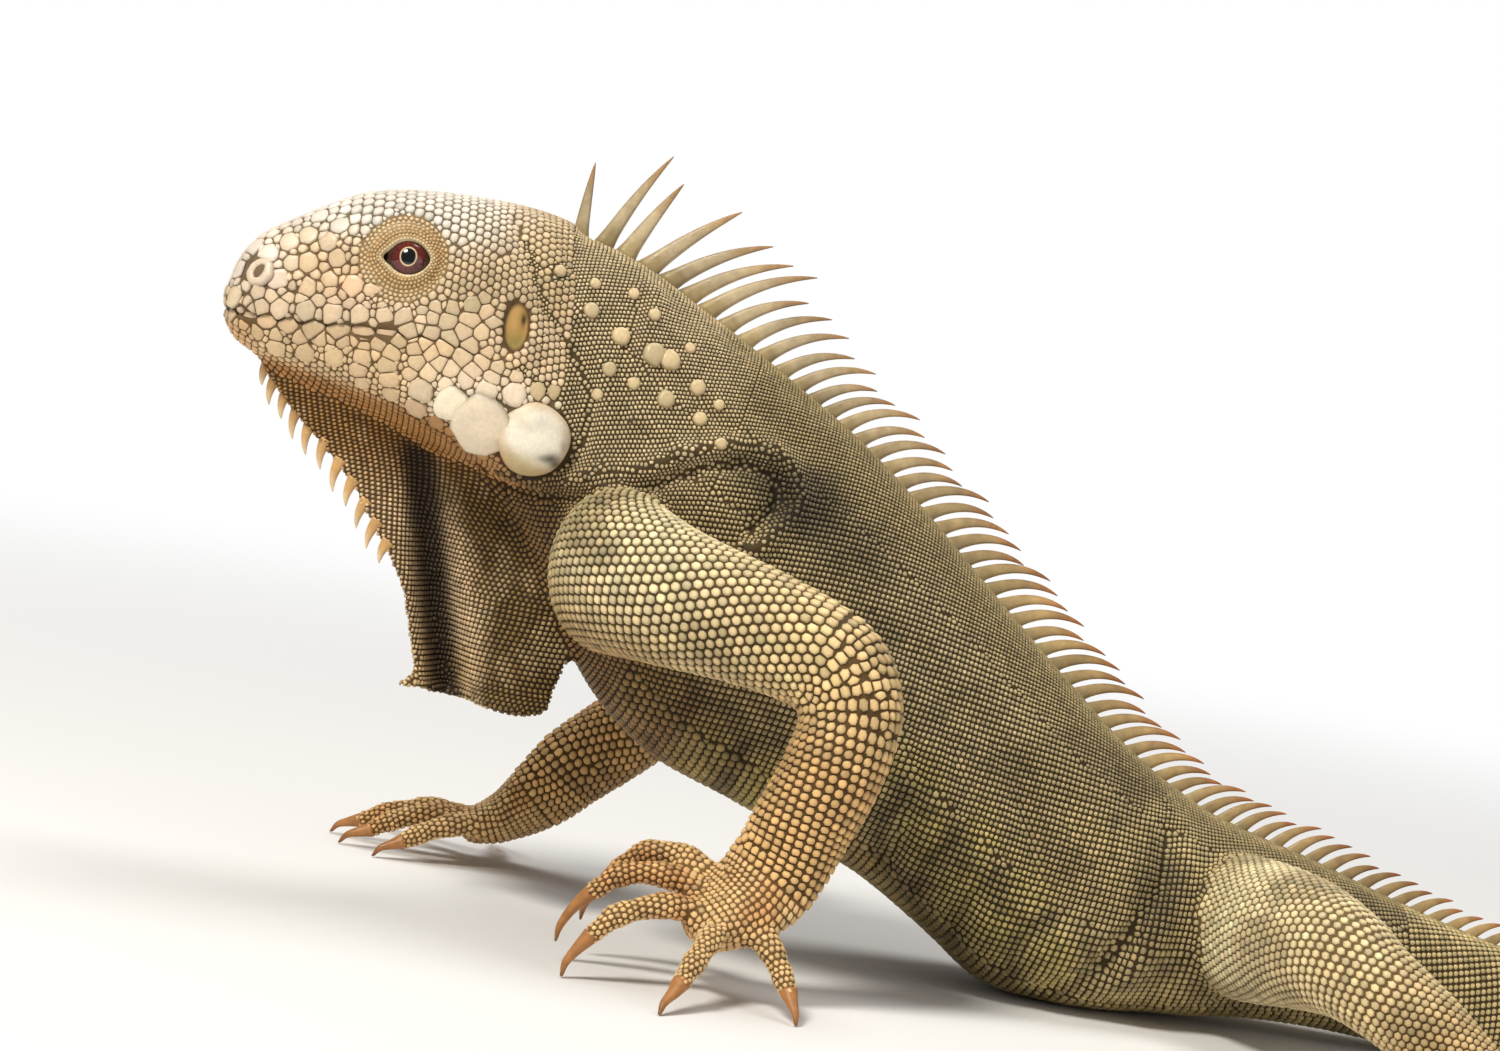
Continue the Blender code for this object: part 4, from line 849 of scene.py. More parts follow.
def relaxed(v, edges, rounds, weight=1.0):
    """Smooths by turns inward and outward, which keeps the size."""
    n = len(v)
    a, b = np.concatenate([edges[:, 0], edges[:, 1]]), np.concatenate([edges[:, 1], edges[:, 0]])
    count = np.maximum(np.bincount(a, minlength=n), 1)[:, None]
    for i in range(rounds):
        mean = np.stack([np.bincount(a, v[b, k], minlength=n) for k in range(3)], -1) / count
        v = v + (mean - v) * (0.55 if i % 2 == 0 else -0.56) * np.asarray(weight)
    return v


def normals_of(me, verts=None):
    if verts is not None:
        me.vertices.foreach_set("co", place(verts).astype(np.float32).ravel())
        me.update()
    n = np.empty(len(me.vertices) * 3, np.float32)
    me.vertex_normals.foreach_get("vector", n)
    return n.reshape(-1, 3).astype(float)


skin_mesh = voxel_skin()
skin_v, skin_e = arrays_of(skin_mesh)
skin_v = relaxed(skin_v, skin_e, 12)
skin_n = normals_of(skin_mesh, skin_v)
smooth_n = skin_n.copy()
for _ in range(6):
    _a, _b = np.concatenate([skin_e[:, 0], skin_e[:, 1]]), np.concatenate([skin_e[:, 1], skin_e[:, 0]])
    smooth_n = unit(smooth_n + np.stack([np.bincount(_a, smooth_n[_b, k], minlength=len(skin_v)) for k in range(3)], -1))
skin_v = skin_v + smooth_n * relief(skin_v, smooth_n)[:, None]
skin_v[:, 2] = np.maximum(skin_v[:, 2], 0.0)
skin_n = normals_of(skin_mesh, skin_v)
skin_obj = bpy.data.objects.new("skin", skin_mesh)
bpy.context.scene.collection.objects.link(skin_obj)
skin_mesh.shade_smooth()
skin_mesh.materials.append(SKIN_MAT)
SKIN_POLYS = [tuple(p.vertices) for p in skin_mesh.polygons]
SKIN_TREE = BVHTree.FromPolygons([tuple(v) for v in skin_v], SKIN_POLYS)
print("skin", len(skin_v), "verts", len(SKIN_POLYS), "faces", flush=True)


def drop_on(x, sign, z):
    """Where the head's side is, at a place given in the head's own x and z."""
    start = head_place(np.array([x, sign * 70.0, z]))
    hit = SKIN_TREE.ray_cast(Vector(start), Vector((0, -sign, 0)))
    return (np.array(hit[0]), np.array(hit[1])) if hit[0] is not None else (None, None)


# ------------------------------------------------------------------ eyes and lids
def opening(angle):
    """The edge of the lids: rounded, with a point at the front corner."""
    r = 1 / np.sqrt((np.cos(angle) / 5.9) ** 2 + (np.sin(angle) / 5.0) ** 2)
    r = r + 1.9 * np.exp(-(angle / 0.30) ** 2)
    back = np.abs(np.abs(angle) - math.pi)
    return r + 0.5 * np.exp(-(back / 0.35) ** 2)


EYE_LIFT = 0.25


def eye_globe(sign):
    """The eyeball, its rings of colour set by the angle from its axis."""
    centre, axis, forward, up = eye_frame(sign)
    up = up if up[2] > 0 else -up
    n, m = 110, 96
    a = np.concatenate([np.linspace(0, 1.05, 80), np.linspace(1.05, math.pi, n - 80 + 1)[1:]])
    b = np.linspace(0, 2 * math.pi, m, endpoint=False)
    A, B = np.meshgrid(a[1:-1], b, indexing="ij")
    r = EYE[3]
    bulge = 1 + 0.035 * np.exp(-(A / 0.45) ** 4)
    pts = centre + r * (bulge * np.cos(A))[..., None] * axis + (r * np.sin(A))[..., None] * (
        np.cos(B)[..., None] * forward + np.sin(B)[..., None] * up)
    verts, faces = tube(pts)
    verts[-2] = centre + axis * r * 1.035
    verts[-1] = centre - axis * r
    d = verts - centre
    ang = np.arccos(np.clip(unit(d) @ axis, -1, 1))
    turn = np.arctan2(d @ up, d @ forward)
    # the pupil stands a little taller than wide
    oval = ang / (1 + 0.16 * (np.sin(turn) ** 2 - 0.5))
    streak = 0.5 + 0.5 * np.sin(turn * 23 + 1.7 * np.sin(turn * 7))
    iris = tone(98, 26, 9) * (0.55 + 0.75 * streak)[:, None]
    iris = mixed(iris, tone(60, 12, 8), smoothstep(0.48, 0.72, ang))
    col = mixed(iris, tone(214, 190, 150), smoothstep(0.285, 0.30, oval) * (1 - smoothstep(0.335, 0.36, oval)))
    col = np.where((oval < 0.288)[:, None], tone(4, 3, 3), col)
    col = mixed(col, tone(34, 20, 14), smoothstep(0.74, 0.84, ang))
    return head_place(verts), faces, col


def skin_height(sign, angle, r):
    """How high the skin stands over the eye's centre, along the eye's axis."""
    centre, axis, forward, up = eye_frame(sign)
    up = up if up[2] > 0 else -up
    turned = head_place(np.vstack([np.zeros(3), axis]))
    world_axis = turned[1] - turned[0]
    out = []
    for t, d in zip(np.ravel(angle), np.ravel(r)):
        at = centre + (forward * math.cos(t) + up * math.sin(t)) * d
        start = head_place(at + axis * 30)
        hit = SKIN_TREE.ray_cast(Vector(start), Vector(-world_axis))
        out.append(30 - hit[3] if hit[0] is not None else 5.0)
    return np.array(out).reshape(np.shape(angle))


def lid_grid(sign, n=22, m=120):
    centre, axis, forward, up = eye_frame(sign)
    up = up if up[2] > 0 else -up
    b = np.linspace(-math.pi, math.pi, m, endpoint=False)
    k = np.linspace(0, 1, n)
    inner = opening(b)
    outer = 13.4 + 1.6 * np.cos(b)
    r = inner[None] * (1 - k[:, None]) + outer[None] * k[:, None]
    level = skin_height(sign, b, outer)
    # bulges over the ball, dips, then runs out under the skin's edge
    own = np.interp(k, [0, 0.06, 0.16, 0.34, 0.55, 0.8, 1.0], [5.9, 6.75, 6.85, 6.35, 5.5, 5.2, 5.2])[:, None] + 0 * b[None]
    corner = np.exp(-(b / 0.5) ** 2)[None]
    own = own - 1.1 * corner * (1 - k[:, None])
    own = own + 0.16 * np.sin(k[:, None] * 40)*(k[:, None] > 0.2)
    w = smoothstep(0.4, 1.0, k)[:, None]
    h = own * (1 - w) + (level[None] - 0.35 + 0 * own) * w
    pts = centre + h[..., None] * axis + r[..., None] * (np.cos(b)[None, :, None] * forward + np.sin(b)[None, :, None] * up)
    # a lip turned in against the ball
    lip = centre + 4.6 * axis + (inner * 0.97)[:, None] * (np.cos(b)[:, None] * forward + np.sin(b)[:, None] * up)
    pts = np.concatenate([lip[None], pts])
    faces = [(i * m + j, i * m + (j + 1) % m, (i + 1) * m + (j + 1) % m, (i + 1) * m + j)
             for i in range(n) for j in range(m)]
    if sign > 0:
        faces = [f[::-1] for f in faces]
    return head_place(pts), faces, r, b


LIDS = {sign: lid_grid(sign) for sign in (-1, 1)}

# ------------------------------------------------------------------ the surface that scales grow from
_cv, _cf, _n = [skin_v], list(SKIN_POLYS), len(skin_v)
_lid_verts = []
for _sign in (-1, 1):
    _g, _f, _, _ = LIDS[_sign]
    _cv.append(_g.reshape(-1, 3))
    _cf += [tuple(i + _n for i in t) for t in _f]
    _n += _g.shape[0] * _g.shape[1]
CARRIER_V = np.vstack(_cv)
CARRIER = BVHTree.FromPolygons([tuple(v) for v in CARRIER_V], _cf)
_corner = np.array([[f[0], f[1], f[2], f[-1]] for f in _cf])
_fn = np.cross(CARRIER_V[_corner[:, 2]] - CARRIER_V[_corner[:, 0]], CARRIER_V[_corner[:, 3]] - CARRIER_V[_corner[:, 1]])
_fn2 = np.cross(CARRIER_V[_corner[:, 1]] - CARRIER_V[_corner[:, 0]], CARRIER_V[_corner[:, 2]] - CARRIER_V[_corner[:, 0]])
_fn = np.where(np.linalg.norm(_fn, axis=1, keepdims=True) > 1e-9, _fn, _fn2)
CARRIER_N = np.stack([sum(np.bincount(_corner[:, c], _fn[:, k], minlength=len(CARRIER_V)) for c in range(4)) for k in range(3)], -1)
CARRIER_N = CARRIER_N / np.maximum(np.linalg.norm(CARRIER_N, axis=1, keepdims=True), 1e-9)
for _ in range(2):   # evened out over neighbours, so that scales lie in line
    _s = CARRIER_N[_corner].sum(1)
    CARRIER_N = unit(CARRIER_N * 2 + np.stack([sum(np.bincount(_corner[:, c], _s[:, k], minlength=len(CARRIER_V)) for c in range(4)) for k in range(3)], -1) * 0.25 + 1e-12)


# ------------------------------------------------------------------ seeds
class Seeds:
    """Roots of scales: place, direction across the row, direction of lie, size, region, place on the unwrap."""

    def __init__(self):
        self.parts = []

    def add(self, region, pos, across, lie, size, uv, chart, out=None, height=None):
        n = len(pos)
        if n == 0:
            return
        out = np.cross(across, lie) if out is None else out
        size = np.broadcast_to(size, n)
        height = np.full(n, -1.0) if height is None else np.broadcast_to(height, n)
        self.parts.append((np.full(n, region), pos, across, lie, out, size, uv, np.full(n, chart), height,
                           np.full(n, len(self.parts))))

    def joined(self):
        return [np.concatenate([p[i] for p in self.parts]) for i in range(10)]


TRUNK, TAIL, ARM, HAND, LEG, FOOT, HEAD, DEWLAP, LID, PLATE = range(10)
seeds = Seeds()


def lattice(region, rings, pitch, chart, start=0, low=0.0, high=1.0, run0=0.0, run1=None, squeeze=0.87, parity=0):
    """Staggered rows across a tube, counted from its start line down both sides."""
    n, m = rings.shape[:2]
    centre = rings.mean(1)
    side = rings[:, (start + m // 4) % m]
    run = np.concatenate([[0], np.cumsum(np.linalg.norm(np.diff((side + centre) / 2, axis=0), axis=1))])
    run1 = run[-1] if run1 is None else min(run1, run[-1])
    p_at = (lambda d: pitch) if np.isscalar(pitch) else (lambda d: float(np.interp(d / run[-1], pitch[0], pitch[1])))
    d, r = run0, parity
    half = m // 2
    while d < run1:
        p = p_at(d)
        i = int(np.clip(np.searchsorted(run, d) - 1, 0, n - 2))
        f = (d - run[i]) / max(run[i + 1] - run[i], 1e-9)
        ring = rings[i] * (1 - f) + rings[i + 1] * f
        j0, j1 = max(i - 2, 0), min(i + 3, n - 1)
        ahead = rings[j1] - rings[j0]
        for sign in (1, -1):
            idx = (start + sign * np.arange(half + 1)) % m
            line = ring[idx]
            seg = np.concatenate([[0], np.cumsum(np.linalg.norm(np.diff(line, axis=0), axis=1))])
            first = (0.25 + 0.5 * (r % 2)) if sign > 0 else (0.75 - 0.5 * (r % 2))
            s = (np.arange(int(seg[-1] / p) + 2) + first) * p
            s = s[(s >= low * seg[-1]) & (s < high * seg[-1])]
            if not len(s):
                continue
            pos = np.stack([np.interp(s, seg, line[:, k]) for k in range(3)], -1)
            along = unit(np.stack([np.interp(s, seg, ahead[idx][:, k]) for k in range(3)], -1))
            tan = np.gradient(line, axis=0)
            across = unit(np.stack([np.interp(s, seg, tan[:, k]) for k in range(3)], -1)) * sign
            out = np.cross(across, along)
            flip = out[:, 1] * sign > 0 if region == DEWLAP else ((pos - centre[i]) * out).sum(1) < 0
            out[flip] *= -1
            uv = np.stack([np.full(len(s), d / run[-1]), 0.5 + 0.5 * sign * s / seg[-1]], -1)
            seeds.add(region, pos, across, along, p, uv, chart, out)
        d += p * squeeze
        r += 1


def station(u):
    return int(np.searchsorted(BODY_U, u))


def outer_line(rings, sign):
    """The ring index that faces outward at the middle of a limb."""
    ring = rings[len(rings) // 2]
    return int(np.argmax(ring[:, 1] * sign))


# plates of the side of the head: x, z, half length, half height; both sides carry them
SIDE_PLATES = [
    (-161.3, 178.3, 3.4, 3.8), (-153, 176.3, 2.1, 2.3), (-147.3, 176.6, 3.6, 2.4), (-139.9, 177, 4, 2.4), (-131.8, 177.2, 4.1, 2.3), (-123.8, 178, 4, 2.2),
    (-116.9, 178.7, 3.1, 2.1), (-110.9, 179.3, 3.1, 2.1), (-106, 181.2, 1.7, 1.4), (-154.6, 180.4, 2.1, 0.9), (-150.1, 179.8, 2.1, 0.9), (-145.6, 179.8, 2.1, 0.8),
    (-141.2, 179.9, 2.3, 0.8), (-136.5, 180.4, 2.3, 0.8), (-131.7, 180.5, 2.3, 0.8), (-127, 180.7, 2.3, 0.8), (-122.2, 180.7, 2.3, 0.8), (-117.6, 181.2, 2.3, 0.8),
    (-112.8, 181.5, 2.1, 0.8), (-148.7, 185.4, 3.1, 3.4), (-145.6, 190.6, 2.4, 3.1), (-140.8, 191.2, 3.1, 3.4), (-140, 184.1, 3.1, 2.3), (-133.9, 186.9, 2.9, 2.6),
    (-132.3, 193.6, 3.1, 2.8), (-126.9, 186.1, 3.4, 3.4), (-116.6, 184.8, 5.7, 2.7), (-133.5, 183.9, 2.1, 1.4), (-121.8, 185.4, 2.1, 2.1), (-152.6, 192.4, 3.8, 3.1),
    (-157, 193.9, 3.4, 3.1), (-147, 196.5, 3.8, 3.1), (-141.8, 199.2, 3.4, 3.1), (-135.5, 198, 3.4, 3.1), (-151.7, 200.1, 3.8, 2.8), (-145.9, 203.5, 3.4, 2.8),
    (-139.2, 205, 3.4, 2.8), (-132.7, 203.1, 3.4, 2.8), (-160.9, 186.6, 2.8, 3.4), (-161.2, 192.7, 2.8, 3.1), (-157.2, 199.4, 3.1, 2.8), (-161.4, 172.8, 1.7, 2.1),
    (-156.2, 173.4, 2.3, 1.6), (-151, 172.5, 2.9, 1.9), (-144.4, 172, 3.4, 2.1), (-137.2, 171.7, 3.7, 2.2), (-129.6, 172.4, 3.9, 2.1), (-122.2, 173, 3.6, 2.1),
    (-115.5, 173.8, 3.3, 2), (-108.9, 174.8, 3.4, 1.9), (-157.6, 170.2, 2.1, 1.5), (-153.3, 168.4, 2.8, 1.7), (-147.8, 168.3, 2.8, 1.7), (-140.9, 168.5, 3.2, 1.5),
    (-134.8, 168.9, 3.3, 1.5), (-127.7, 169.2, 3.4, 1.2), (-131.5, 166.5, 2.1, 1.2), (-126.5, 167.3, 1.8, 1.2), (-121.9, 168.6, 1.9, 1.4), (-117.2, 169.6, 2.6, 1.5),
    (-111.6, 171.2, 2.9, 1.5), (-107.5, 172.1, 1.4, 1), (-147.4, 164.8, 4.1, 2.3), (-138.5, 164.4, 4.5, 2.1), (-129.9, 164.1, 4.3, 2.3), (-121.8, 165.2, 3.9, 2.1),
    (-113.2, 167.4, 4.1, 1.8), (-106.7, 169.7, 2.9, 1.8), (-101.6, 169.3, 2.9, 1.8), (-122.4, 161.5, 4.1, 1.9), (-114.2, 163.7, 4.6, 2), (-105.9, 166, 3.4, 1.7),
    (-99.2, 166.3, 3.1, 1.6), (-121, 157.9, 3.8, 1.5), (-113.1, 160, 4.8, 2.1), (-107.4, 162.3, 2.9, 1.6), (-101.7, 163.1, 3.4, 1.9), (-95.7, 164.9, 3.3, 1.5),
    (-89, 165.3, 3.8, 1.5), (-112.2, 155.7, 4, 2), (-103.6, 157.7, 5.2, 2.7), (-96.5, 160.5, 2.9, 2.1), (-90.7, 162.5, 3.4, 1.9), (-83.3, 163.7, 3.8, 1.4),
    (-76.1, 165.2, 3.4, 1.2), (-104.3, 152.5, 4.3, 2.9), (-93.8, 155, 6.3, 4.1), (-84.3, 160.3, 4.4, 2.6), (-76.2, 160.3, 4.3, 3.3), (-69.5, 162, 3.1, 2.3),
    (-64.7, 162.4, 2.4, 2.1), (-97.8, 148.9, 3.1, 2.6), (-84.7, 149.8, 7.9, 6.6), (-103.9, 171.5, 2.6, 1.7), (-98.4, 171.2, 2.8, 1.5), (-92.4, 169, 2.9, 1.4),
    (-86.6, 168.3, 2.9, 1.3), (-81.8, 167.5, 2.8, 1.2), (-102.9, 174.8, 2.8, 1.2), (-96.8, 174.3, 2.6, 1.3), (-90.5, 173, 2.6, 1.4), (-85, 171.6, 2.4, 1.4),
    (-91.6, 184.9, 3, 2.6), (-97.2, 183.4, 2.1, 2.1), (-101.9, 183.1, 1.9, 1.7), (-105.8, 178.9, 1.9, 1), (-102.8, 179.7, 2.1, 1.2), (-98, 179.2, 2.8, 1.5),
    (-91.7, 180.4, 3.1, 1.9), (-87, 183.6, 2.1, 2.1), (-88.1, 187.2, 2.1, 1.9), (-93, 176.8, 3.1, 1.5), (-87.6, 176.8, 2.8, 1.7), (-84.6, 180.5, 1.7, 2.1),
    (-93.4, 146.8, 2.4, 1.7), (-88.8, 142.8, 2.8, 1.7), (-83.1, 140.7, 2.8, 1.7),
]


def plate_seeds():
    for sign in (-1, 1):
        found = []
        for x, z, a, b in SIDE_PLATES:
            hit, normal = drop_on(x, sign, z)
            if hit is not None:
                found.append((hit, normal, a, b))
        pos = np.array([f[0] for f in found])
        out = np.array([f[1] for f in found])
        back = np.cross(np.array([0.0, sign * -1.0, 0.0]), out)
        lie = np.tile([1.0, 0, 0.0], (len(pos), 1))
        lie = unit(lie - out * (lie * out).sum(1, keepdims=True))
        across = np.cross(out, lie)
        a, b = np.array([f[2] for f in found]), np.array([f[3] for f in found])
        size = a + b
        q = head_local(pos)
        uv = np.stack([(q[:, 0] + 170) / 115, 0.5 + sign * (0.1 + (q[:, 2] - 130) / 230)], -1)
        big = smoothstep(5.5, 13, size)
        seeds.add(PLATE, pos, across, lie, size, uv, 4, out, 0.42 + 1.5 * big)
        for x, z, wide in ((SHIELD[0], SHIELD[2], SHIELD[3] + SHIELD[5] + 1.8), (-154.9, 186.9, 8.8),
                           (EAR[0], EAR[1] + 3.2, 2 * EAR[2] + 1.0), (EAR[0], EAR[1], 2 * EAR[2] + 1.6), (EAR[0], EAR[1] - 3.2, 2 * EAR[2] + 1.0)):
            hit, normal = drop_on(x, sign, z)
            lie = unit(np.array([[1.0, 0, 0]]) - normal * normal[0])
            seeds.add(PLATE, hit[None], np.cross(normal[None], lie), lie, wide, np.array([[0.5, 0.5]]), 4, normal[None], HELD)
        # raised round bosses on the side of the neck
        for x, y, r in TUBERCLES:
            hit = SKIN_TREE.ray_cast(Vector((x, sign * 70, y)), Vector((0, -sign, 0)))
            if hit[0] is None:
                continue
            p, nrm = np.array(hit[0])[None], np.array(hit[1])[None]
            lie = unit(np.array([[1.0, 0, -0.4]]) - nrm * (np.array([[1.0, 0, -0.4]]) * nrm).sum(1, keepdims=True))
            seeds.add(PLATE, p, np.cross(nrm, lie), lie, 2.5 * r, np.array([[0.5 + x / 400, 0.5 + sign * y / 500]]), 4, nrm, r * 0.75)


HELD = 0.1111    # marks a place that holds its neighbours off and grows no scale
TUBERCLES = [(-66, 184, 2.1), (-56, 178, 2.4), (-45.5, 174.5, 2.9), (-40.5, 173.5, 2.6), (-40, 162, 2.3), (-31, 167, 2.1),
             (-47, 186, 1.7), (-77, 194, 1.6), (-54, 191, 1.6), (-29, 158, 1.9), (-66, 192, 1.5), (-58, 168, 1.9),
             (-35, 178, 1.5), (-50, 165, 1.7), (-24, 163, 1.5), (-60, 160, 1.6), (-22, 152, 1.6)]
plate_seeds()

# lids: rings of granules round each eye
for _sign in (-1, 1):
    _g, _, _r, _b = LIDS[_sign]
    _pts = _g[1:]
    for _ring, (_k, _p) in enumerate([(0.10, 0.95), (0.22, 1.05), (0.345, 1.2), (0.47, 1.3), (0.60, 1.45), (0.73, 1.55), (0.87, 1.7)]):
        _i = _k * (len(_pts) - 1)
        _lo = int(_i)
        _line = _pts[_lo] * (1 - _i + _lo) + _pts[min(_lo + 1, len(_pts) - 1)] * (_i - _lo)
        _line = np.vstack([_line, _line[:1]])
        _seg = np.concatenate([[0], np.cumsum(np.linalg.norm(np.diff(_line, axis=0), axis=1))])
        _count = int(_seg[-1] / _p)
        _s = (np.arange(_count) + 0.5 * (_ring % 2)) / _count * _seg[-1]
        _pos = np.stack([np.interp(_s, _seg, _line[:, k]) for k in range(3)], -1)
        _d = np.gradient(_line, axis=0)
        _across = unit(np.stack([np.interp(_s, _seg, _d[:, k]) for k in range(3)], -1))
        _c, _ax, _fw, _up = eye_frame(_sign)
        _w = head_place(np.vstack([np.zeros(3), _ax]))
        _out = np.tile(unit(_w[1] - _w[0]), (_count, 1))
        _lie = unit(np.cross(_out, _across))
        seeds.add(LID, _pos, _across, _lie, _p, np.stack([0.5 + 0.04 * (_k + 0.2) * np.cos(_s / _seg[-1] * 6.283), 0.5 + _sign * 0.3 + 0.04 * (_k + 0.2) * np.sin(_s / _seg[-1] * 6.283)], -1), 4, _out)

# head: granules and small plates between
_h = RINGS["head"]
_m = _h.shape[1]
lattice(HEAD, _h, (np.array([0, 0.35, 0.6, 0.8, 1.0]), np.array([4.2, 3.9, 3.2, 2.6, 2.2])), 4, 0, 0.0, 0.23)
lattice(HEAD, _h, (np.array([0, 0.4, 0.75, 1.0]), np.array([3.2, 2.9, 2.45, 2.3])), 4, 0, 0.23, 0.62)
lattice(HEAD, _h, (np.array([0, 0.4, 1.0]), np.array([2.6, 2.1, 1.9])), 4, 0, 0.62, 1.0)

# neck and trunk, finer on the back
_b0 = RINGS["body"]
_neck = _b0[station(0.6):station(5.2)]
lattice(TRUNK, _neck, 1.42, 0, 0, 0.0, 0.30)
lattice(TRUNK, _neck, 1.55, 0, 0, 0.30, 0.75)
lattice(TRUNK, _neck, 2.1, 0, 0, 0.75, 1.0)
_trunk = _b0[station(5.2):station(17.4)]
lattice(TRUNK, _trunk, (np.array([0, 1.0]), np.array([1.42, 1.7])), 1, 0, 0.0, 0.24)
lattice(TRUNK, _trunk, (np.array([0, 0.5, 1.0]), np.array([1.68, 1.92, 2.1])), 1, 0, 0.24, 0.56)
lattice(TRUNK, _trunk, (np.array([0, 0.5, 1.0]), np.array([2.0, 2.3, 2.4])), 1, 0, 0.56, 0.78)
lattice(TRUNK, _trunk, 2.9, 1, 0, 0.78, 1.0)
lattice(TAIL, _b0[station(17.4):], (np.array([0, 0.1, 0.6, 1.0]), np.array([2.1, 2.4, 2.5, 1.9])), 2, 0, 0, 1.0)

for _side, _sign in (("left", -1), ("right", 1)):
    _a, _uu = RINGS["arm_" + _side], LIMB_U["arm_" + _side]
    _s0 = outer_line(_a, _sign)
    _w = int(np.searchsorted(_uu, 8.6))
    lattice(ARM, _a[:_w], (np.array([0, 0.35, 0.6, 1.0]), np.array([2.4, 3.3, 3.4, 3.0])), 3, _s0, squeeze=0.80)
    lattice(HAND, _a[_w:], 2.4, 3, _s0)
    for _i in range(5):
        lattice(HAND, RINGS[f"finger_{_side}_{_i}"], (np.array([0, 1.0]), np.array([2.5, 2.0])), 3, 0)
    _l = RINGS["leg_" + _side]
    lattice(LEG, _l, (np.array([0, 0.3, 0.7, 1.0]), np.array([2.2, 2.7, 2.7, 2.3])), 3, outer_line(_l, _sign), squeeze=0.82)
    lattice(FOOT, RINGS["sole_" + _side], 2.3, 3, 0)
    for _i in range(5):
        lattice(FOOT, RINGS[f"toe_{_side}_{_i}"], 2.1, 3, 0)

# dewlap: rows across the fan, on both faces
_d = RINGS["dewlap"]
lattice(DEWLAP, _d[::-1], 1.85, 5, 0)

REG, POS, ACROSS, LIE, OUT, SIZE, UV, CHART, HEIGHT, RANK = seeds.joined()
print("seeds laid", len(POS), flush=True)

# onto the skin; roots that fell inside another limb, or in a gap kept clear, go
_limit = np.where(REG == TRUNK, 4.5, np.where(REG == HEAD, 4.0, 2.6))
_limit = np.where(REG == LID, 1.0, _limit)
keep = np.zeros(len(POS), bool)
NORMAL = np.zeros_like(POS)
for i in range(len(POS)):
    hit = CARRIER.find_nearest(Vector(POS[i]), float(_limit[i]))
    if hit[0] is None:
        continue
    c = _corner[hit[2]]
    at = np.array(hit[0])
    w = 1 / (np.linalg.norm(CARRIER_V[c] - at, axis=1) + 0.05)
    nrm = (CARRIER_N[c] * w[:, None]).sum(0)
    nrm /= np.linalg.norm(nrm) + 1e-12
    if nrm @ OUT[i] < 0.35:
        continue
    keep[i] = True
    POS[i] = at
    NORMAL[i] = nrm


def clear(pos, normal, region):
    """True where a scale may stand: away from the eyes' opening, ears, shields, nostrils, mouth and the floor."""
    q = head_local(pos)
    ok = np.ones(len(pos), bool)
    for sign in (-1, 1):
        dist, angle, level = eye_polar(q, sign)
        same = (q[:, 1] * sign > 6) & (q[:, 0] < -85)
        ok &= ~(same & (dist < opening(angle) + 0.45) & (level > 0))
        ok &= ~(same & (region != LID) & (dist < 12.4 + 1.5 * np.cos(angle)))
        e = np.hypot((q[:, 0] - EAR[0]) / (EAR[2] + 0.5), (q[:, 2] - EAR[1]) / (EAR[3] + 0.5))
        ok &= ~((q[:, 1] * sign > 10) & (e < 1.0))
        e = np.hypot((q[:, 0] - SHIELD[0]) / (SHIELD[3] + 1.2), (q[:, 2] - SHIELD[2]) / (SHIELD[5] + 1.2))
        ok &= ~((q[:, 1] * sign > 10) & (e < 1.0))
        ok &= ~((q[:, 1] * sign > 3) & (np.hypot(q[:, 0] + 154.9, q[:, 2] - 186.9) < 4.3) & (q[:, 0] < -145))
    ok &= ~((pos[:, 2] < 0.5) & (normal[:, 2] < -0.3))
    line = np.interp(q[:, 0], [m[0] for m in MOUTH], [m[1] for m in MOUTH])
    ok &= ~((region == HEAD) & (q[:, 0] < -92) & (q[:, 0] > -166) & (np.abs(q[:, 2] - line) < 1.0) & (np.abs(q[:, 1]) > 2))
    return ok


keep &= clear(POS, NORMAL, REG) | (HEIGHT == HELD)

REG, POS, ACROSS, LIE, OUT, SIZE, UV, CHART, HEIGHT, RANK, NORMAL = (
    a[keep] for a in (REG, POS, ACROSS, LIE, OUT, SIZE, UV, CHART, HEIGHT, RANK, NORMAL))

# where two fields meet, the later one gives way
_tree = KDTree(len(POS))
for i, p in enumerate(POS):
    _tree.insert(p, i)
_tree.balance()
alive = np.ones(len(POS), bool)
_order = np.argsort(RANK, kind="stable")
_place = np.empty(len(POS), int)
_place[_order] = np.arange(len(POS))
_reach = np.where(REG == PLATE, 0.62 * SIZE + 1.2, 0.75 * SIZE)
for i in _order:
    if not alive[i]:
        continue
    for co, j, dist in _tree.find_range(POS[i], float(_reach[i])):
        if _place[j] <= _place[i] or not alive[j]:
            continue
        share = 0.62 if RANK[j] != RANK[i] else 0.5
        if REG[i] == PLATE and REG[j] == PLATE:
            share = 0.30
        elif REG[i] == PLATE and HEIGHT[i] < 1.3 and POS[i, 0] < -70:
            share = 0.96
        if dist < share * 0.5 * (SIZE[i] + SIZE[j]) and NORMAL[i] @ NORMAL[j] > 0:
            alive[j] = False
REG, POS, ACROSS, LIE, OUT, SIZE, UV, CHART, HEIGHT, RANK, NORMAL = (
    a[alive] for a in (REG, POS, ACROSS, LIE, OUT, SIZE, UV, CHART, HEIGHT, RANK, NORMAL))

